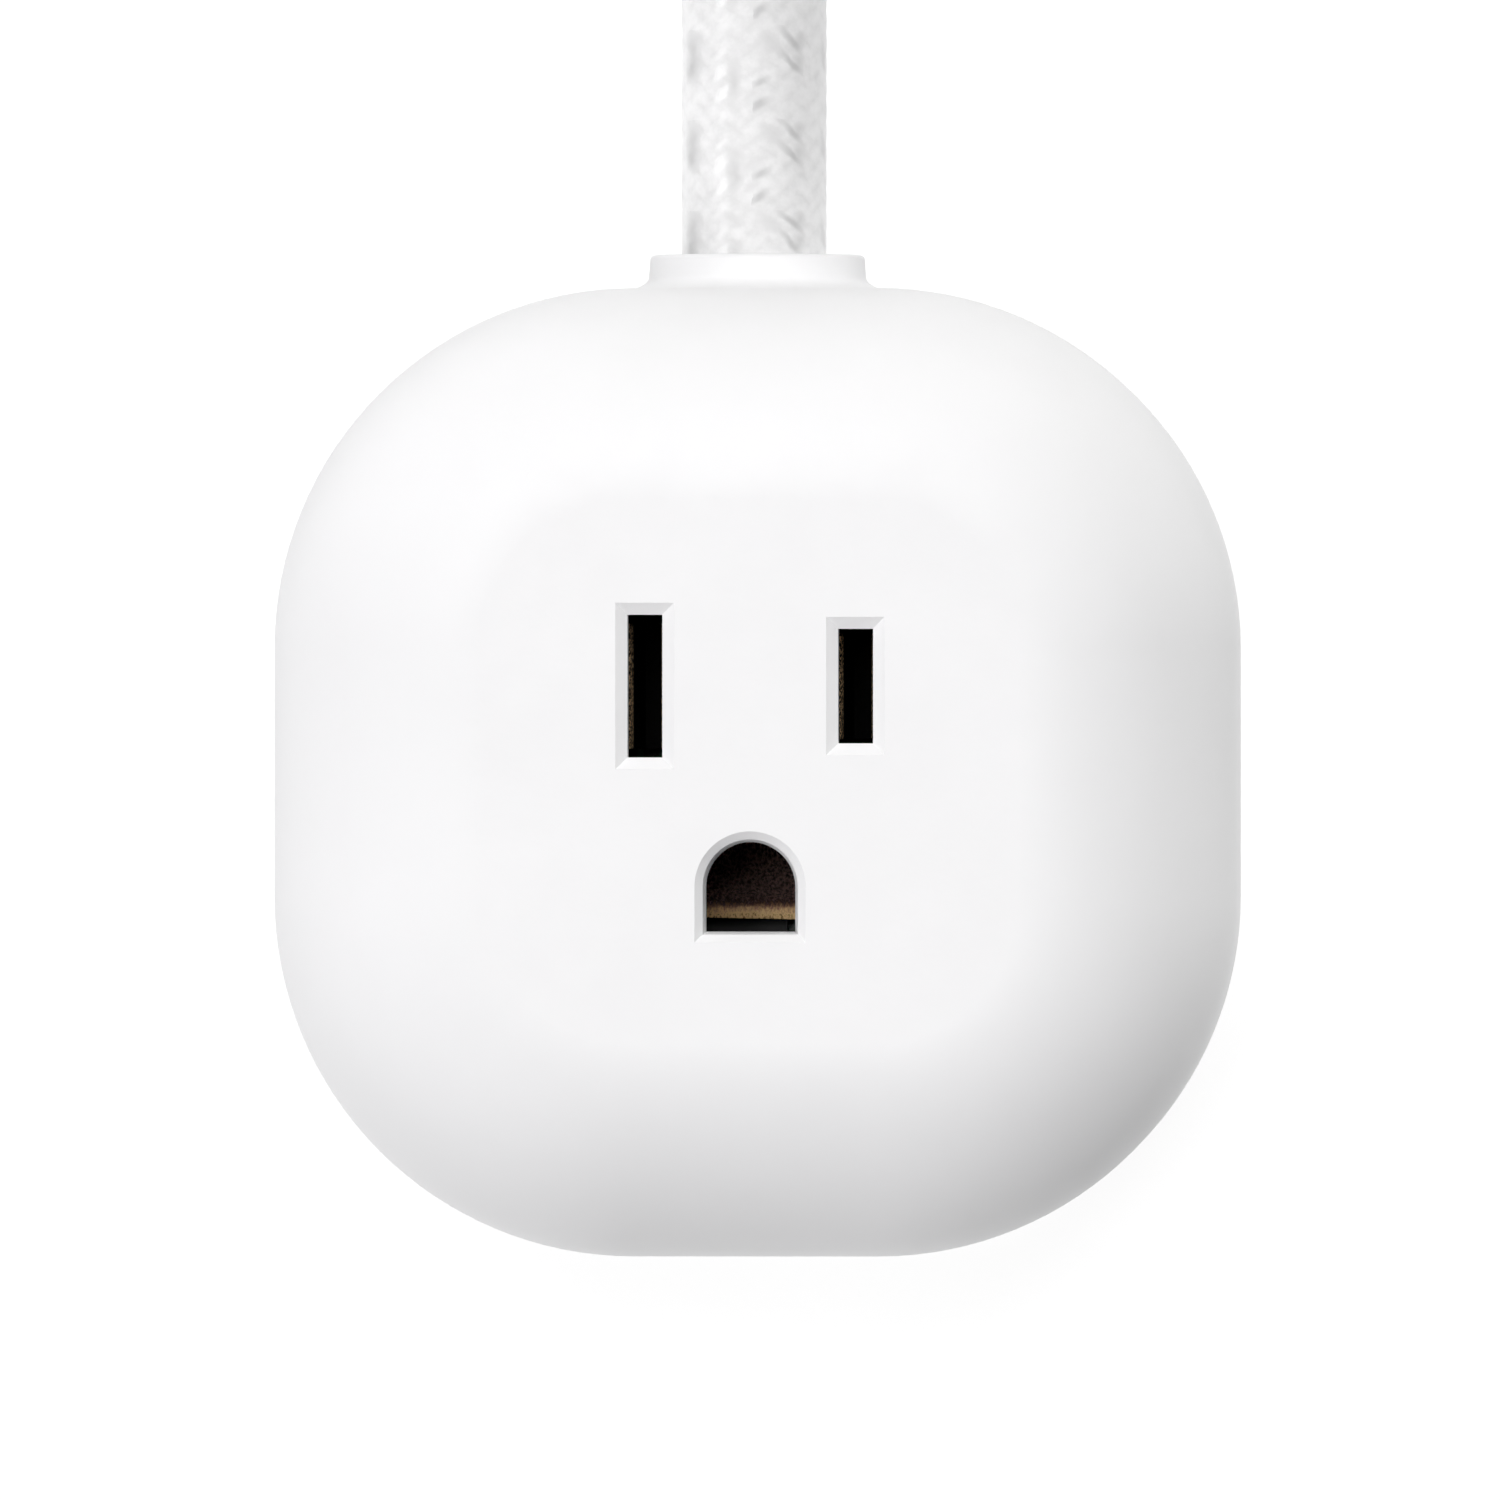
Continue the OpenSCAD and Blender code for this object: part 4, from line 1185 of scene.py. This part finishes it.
def build_tie():
    """Woven strap pulled round the turns, its end lapped over the outside and tucked down."""
    outward = Vector((math.cos(TIE_TURN), math.sin(TIE_TURN), 0))
    along = Vector((-math.sin(TIE_TURN), math.cos(TIE_TURN), 0))
    centre = Vector((COIL_AT[0] * MM, COIL_AT[1] * MM, COIL_HIGH / 2)) + outward * COIL_MID_R
    edge = 0.25 * MM
    half = TIE_WIDTH / 2
    section = [
        (-half, edge), (edge - half, 0), (half - edge, 0), (half, edge),
        (half, TIE_T - edge), (half - edge, TIE_T), (edge - half, TIE_T), (-half, TIE_T - edge),
    ]
    loops = [tie_loop(lift) for _, lift in section]
    rings = []
    for k in range(len(loops[0])):
        ring = []
        for loop, (across, _) in zip(loops, section):
            u, z = loop[k]
            spot = centre + outward * u + along * across + Vector((0, 0, z))
            spot.z = max(spot.z, 0.0)
            ring.append(spot)
        rings.append(ring)
    strap = loft("strap", rings, closed=True)
    return smooth(join("coil_strap", strap, build_tab(centre, outward, along)), 40)


def build_tab(centre, outward, along):
    """The lapped end of the strap on top of the coil."""
    count = 16
    rings = []
    half = TIE_WIDTH / 2
    edge = 0.3 * MM
    lift = COIL_HIGH / 2 + TIE_T + 0.02 * MM
    for i in range(count + 1):
        t = i / count
        u = CORD_R * 1.2 - 11 * MM * t
        thick = 0.9 * MM * min(1.0, 0.25 + 3 * (1 - t), 0.25 + 6 * t)
        side = lift + thick * 0.7
        top = lift + thick
        section = [
            (-half, lift), (half, lift), (half, side), (half - edge, top), (edge - half, top), (-half, side),
        ]
        spot = centre + outward * u
        rings.append([spot + along * across + Vector((0, 0, z)) for across, z in section])
    return loft("tab", rings)


def strap_material():
    """Close woven tape with a fuzzy surface."""
    paint = Paint("strap_weave", Sheen_Weight=0.4, Roughness=0.85)
    turn = paint.node("ShaderNodeMapping")
    turn.inputs["Rotation"].default_value = (0, 0, -TIE_TURN)
    paint.wire(paint.space, turn.inputs["Vector"])
    split = paint.axes(turn.outputs["Vector"])
    rows = []
    for axis, pitch in (("X", 0.9), ("Y", 0.7), ("Z", 0.9)):
        turns = paint.math("MULTIPLY", split[axis], 2 * math.pi / (pitch * MM))
        rows.append(paint.math("SINE", turns))
    weave = paint.math("MULTIPLY", paint.math("ADD", rows[0], rows[2]), rows[1])
    fuzz = paint.noise(3200, 5, 0.7)
    tone = paint.math("MULTIPLY_ADD", weave, 0.12, fuzz)
    paint.set("Base Color", paint.ramp(tone, [(0.3, (0.6, 0.6, 0.6)), (0.7, (0.78, 0.78, 0.78))]))
    paint.set("Normal", paint.bump(tone, 0.12 * MM, 0.6))
    return paint.material


strap = finish_piece(build_tie(), strap_material(), "tie_fabric", "cord_tie")


# ---------- inner parts, which stay as the CAD nodes ----------

def varnished(name, colour, stripe, pitch):
    """Wound wire or wrapped tape: even lines round the winding."""
    paint = Paint(name)
    line = paint.math("SINE", paint.math("MULTIPLY", paint.axes()["Y"], 2 * math.pi / pitch))
    wound = paint.math("MULTIPLY_ADD", line, 0.5, 0.5)
    uneven = (paint.noise(800), 0.3, 0.7, 0.3, 0.45)
    return paint.surface((wound, [(0, stripe), (1, colour)]), uneven, (line, 0.05 * MM, 0.6))


TRACK_PITCH = 1.3 * MM


def board(name, colour):
    """Solder mask over runs of parallel tracks, some along the board and some across it."""
    paint = Paint(name)
    split = paint.axes()
    block = paint.node("ShaderNodeTexVoronoi", distance="CHEBYCHEV")
    block.inputs["Scale"].default_value = 150
    paint.wire(paint.space, block.inputs["Vector"])
    turned = paint.math("GREATER_THAN", block.outputs["Color"], 0.5)
    waves = 2 * math.pi / TRACK_PITCH
    along = paint.math("SINE", paint.math("MULTIPLY", split["X"], waves))
    across = paint.math("SINE", paint.math("MULTIPLY", split["Y"], waves))
    tracks = paint.math("MULTIPLY_ADD", turned, paint.math("SUBTRACT", along, across), across)
    stops = [(0.45, colour), (0.62, shade(colour, 1.7))]
    uneven = (paint.noise(900), 0.3, 0.7, 0.25, 0.4)
    return paint.surface((tracks, stops), uneven, (tracks, 0.03 * MM, 0.4))


steel = rolled_metal("screw_steel", (0.42, 0.42, 0.43), (0.66, 0.66, 0.67), 0.28, (1, 1, 1), 1800)
FINISHES = {
    "screw_steel": steel,
    "coil_copper": varnished("coil_copper", (0.72, 0.36, 0.18), (0.4, 0.17, 0.08), 0.3 * MM),
    "transformer_tape": varnished("transformer_tape", (0.78, 0.62, 0.25), (0.62, 0.47, 0.16), 1.6 * MM),
    "board_green": board("board_green", (0.008, 0.07, 0.028)),
    "board_blue": board("board_blue", (0.02, 0.05, 0.22)),
    "carrier_black": moulded("carrier_black", (0.003, 0.003, 0.0033), 0.7, 1500, 0.03, 0.2, 0.06),
}
for name, colour, rough, depth, drift in (
    ("component_black", (0.014, 0.014, 0.015), 0.45, 0.02, 0.2),
    ("component_grey", (0.3, 0.3, 0.31), 0.45, 0.02, 0.08),
    ("component_white", (0.8, 0.8, 0.78), 0.4, 0.02, 0.04),
    ("relay_blue", (0.05, 0.16, 0.5), 0.3, 0.015, 0.08),
    ("capacitor_yellow", (0.8, 0.56, 0.07), 0.32, 0.015, 0.06),
    ("terminal_green", (0.08, 0.38, 0.18), 0.4, 0.02, 0.06),
    ("wire_green", (0.04, 0.32, 0.09), 0.4, 0.01, 0.08),
):
    FINISHES[name] = moulded(name, colour, rough, 1500, depth, drift)


def paint_nodes():
    """Each CAD node that still shows gets the material of its slot in the record."""
    slots = {part["node"]: part["material_slot"] for part in frame["record"]["subparts"]}
    for name, node in frame["nodes"].items():
        material = FINISHES.get(slots[name])
        if material is None:
            continue
        if not node.material_slots:
            node.data.materials.append(material)
        for holder in node.material_slots:
            holder.link = "OBJECT"
            holder.material = material


paint_nodes()


# ---------- floor and light ----------

FLOOR_REACH = 3.0
FLOOR_GLOW = 0.865
LAMP_SIZE = 0.8
LAMP_FAR = 1.6
LAMP_AIM = (0, 0.03, 0.02)


def build_floor():
    """White floor, lit by itself too, so that it stays as even as the photo's background."""
    mesh = bpy.data.meshes.new("floor")
    square = [(x * FLOOR_REACH, y * FLOOR_REACH, 0) for x, y in ((-1, -1), (1, -1), (1, 1), (-1, 1))]
    mesh.from_pydata(square, [], [(0, 1, 2, 3)])
    floor = link("floor", mesh)
    paint = Paint("floor_white", Roughness=0.9)
    stops = [(0.3, (0.205, 0.205, 0.205)), (0.7, (0.225, 0.225, 0.225))]
    paint.set("Base Color", paint.ramp(paint.noise(3, 2), stops))
    paint.set("Emission Color", (1, 1, 1, 1))
    paint.set("Emission Strength", FLOOR_GLOW)
    mesh.materials.append(paint.material)


def soft_box(name, azimuth, elevation, power, colour, lift=0.0):
    """Square lamp that faces the socket from a direction given in degrees."""
    data = bpy.data.lights.new(name, "AREA")
    data.shape = "SQUARE"
    data.size = LAMP_SIZE
    data.energy = power
    data.color = colour
    lamp = bpy.data.objects.new(name, data)
    bpy.context.scene.collection.objects.link(lamp)
    a = math.radians(azimuth)
    e = math.radians(elevation)
    way = Vector((math.cos(e) * math.cos(a), math.cos(e) * math.sin(a), math.sin(e)))
    lamp.location = Vector(LAMP_AIM) + Vector((0, 0, lift)) + way * LAMP_FAR
    lamp.rotation_euler = way.to_track_quat("Z", "Y").to_euler()


def light_scene():
    scene = bpy.context.scene
    scene.view_settings.view_transform = "Standard"
    world = bpy.data.worlds.new("studio")
    scene.world = world
    world.use_nodes = True
    back = world.node_tree.nodes["Background"]
    back.inputs["Color"].default_value = (1, 1, 1, 1)
    back.inputs["Strength"].default_value = 0.01
    soft_box("key", 72, 58, 8.0, (1.0, 0.995, 1.0))
    soft_box("top", 120, 75, 14.2, (1.0, 0.995, 1.0))
    soft_box("left_fill", 210, 40, 7.2, (1.0, 0.99, 1.0))
    soft_box("left_low", 210, 5, 2.1, (0.97, 0.97, 1.0), 0.25)
    soft_box("right_low", 60, 5, 6.1, (1.0, 1.0, 0.97), 0.25)


build_floor()
light_scene()
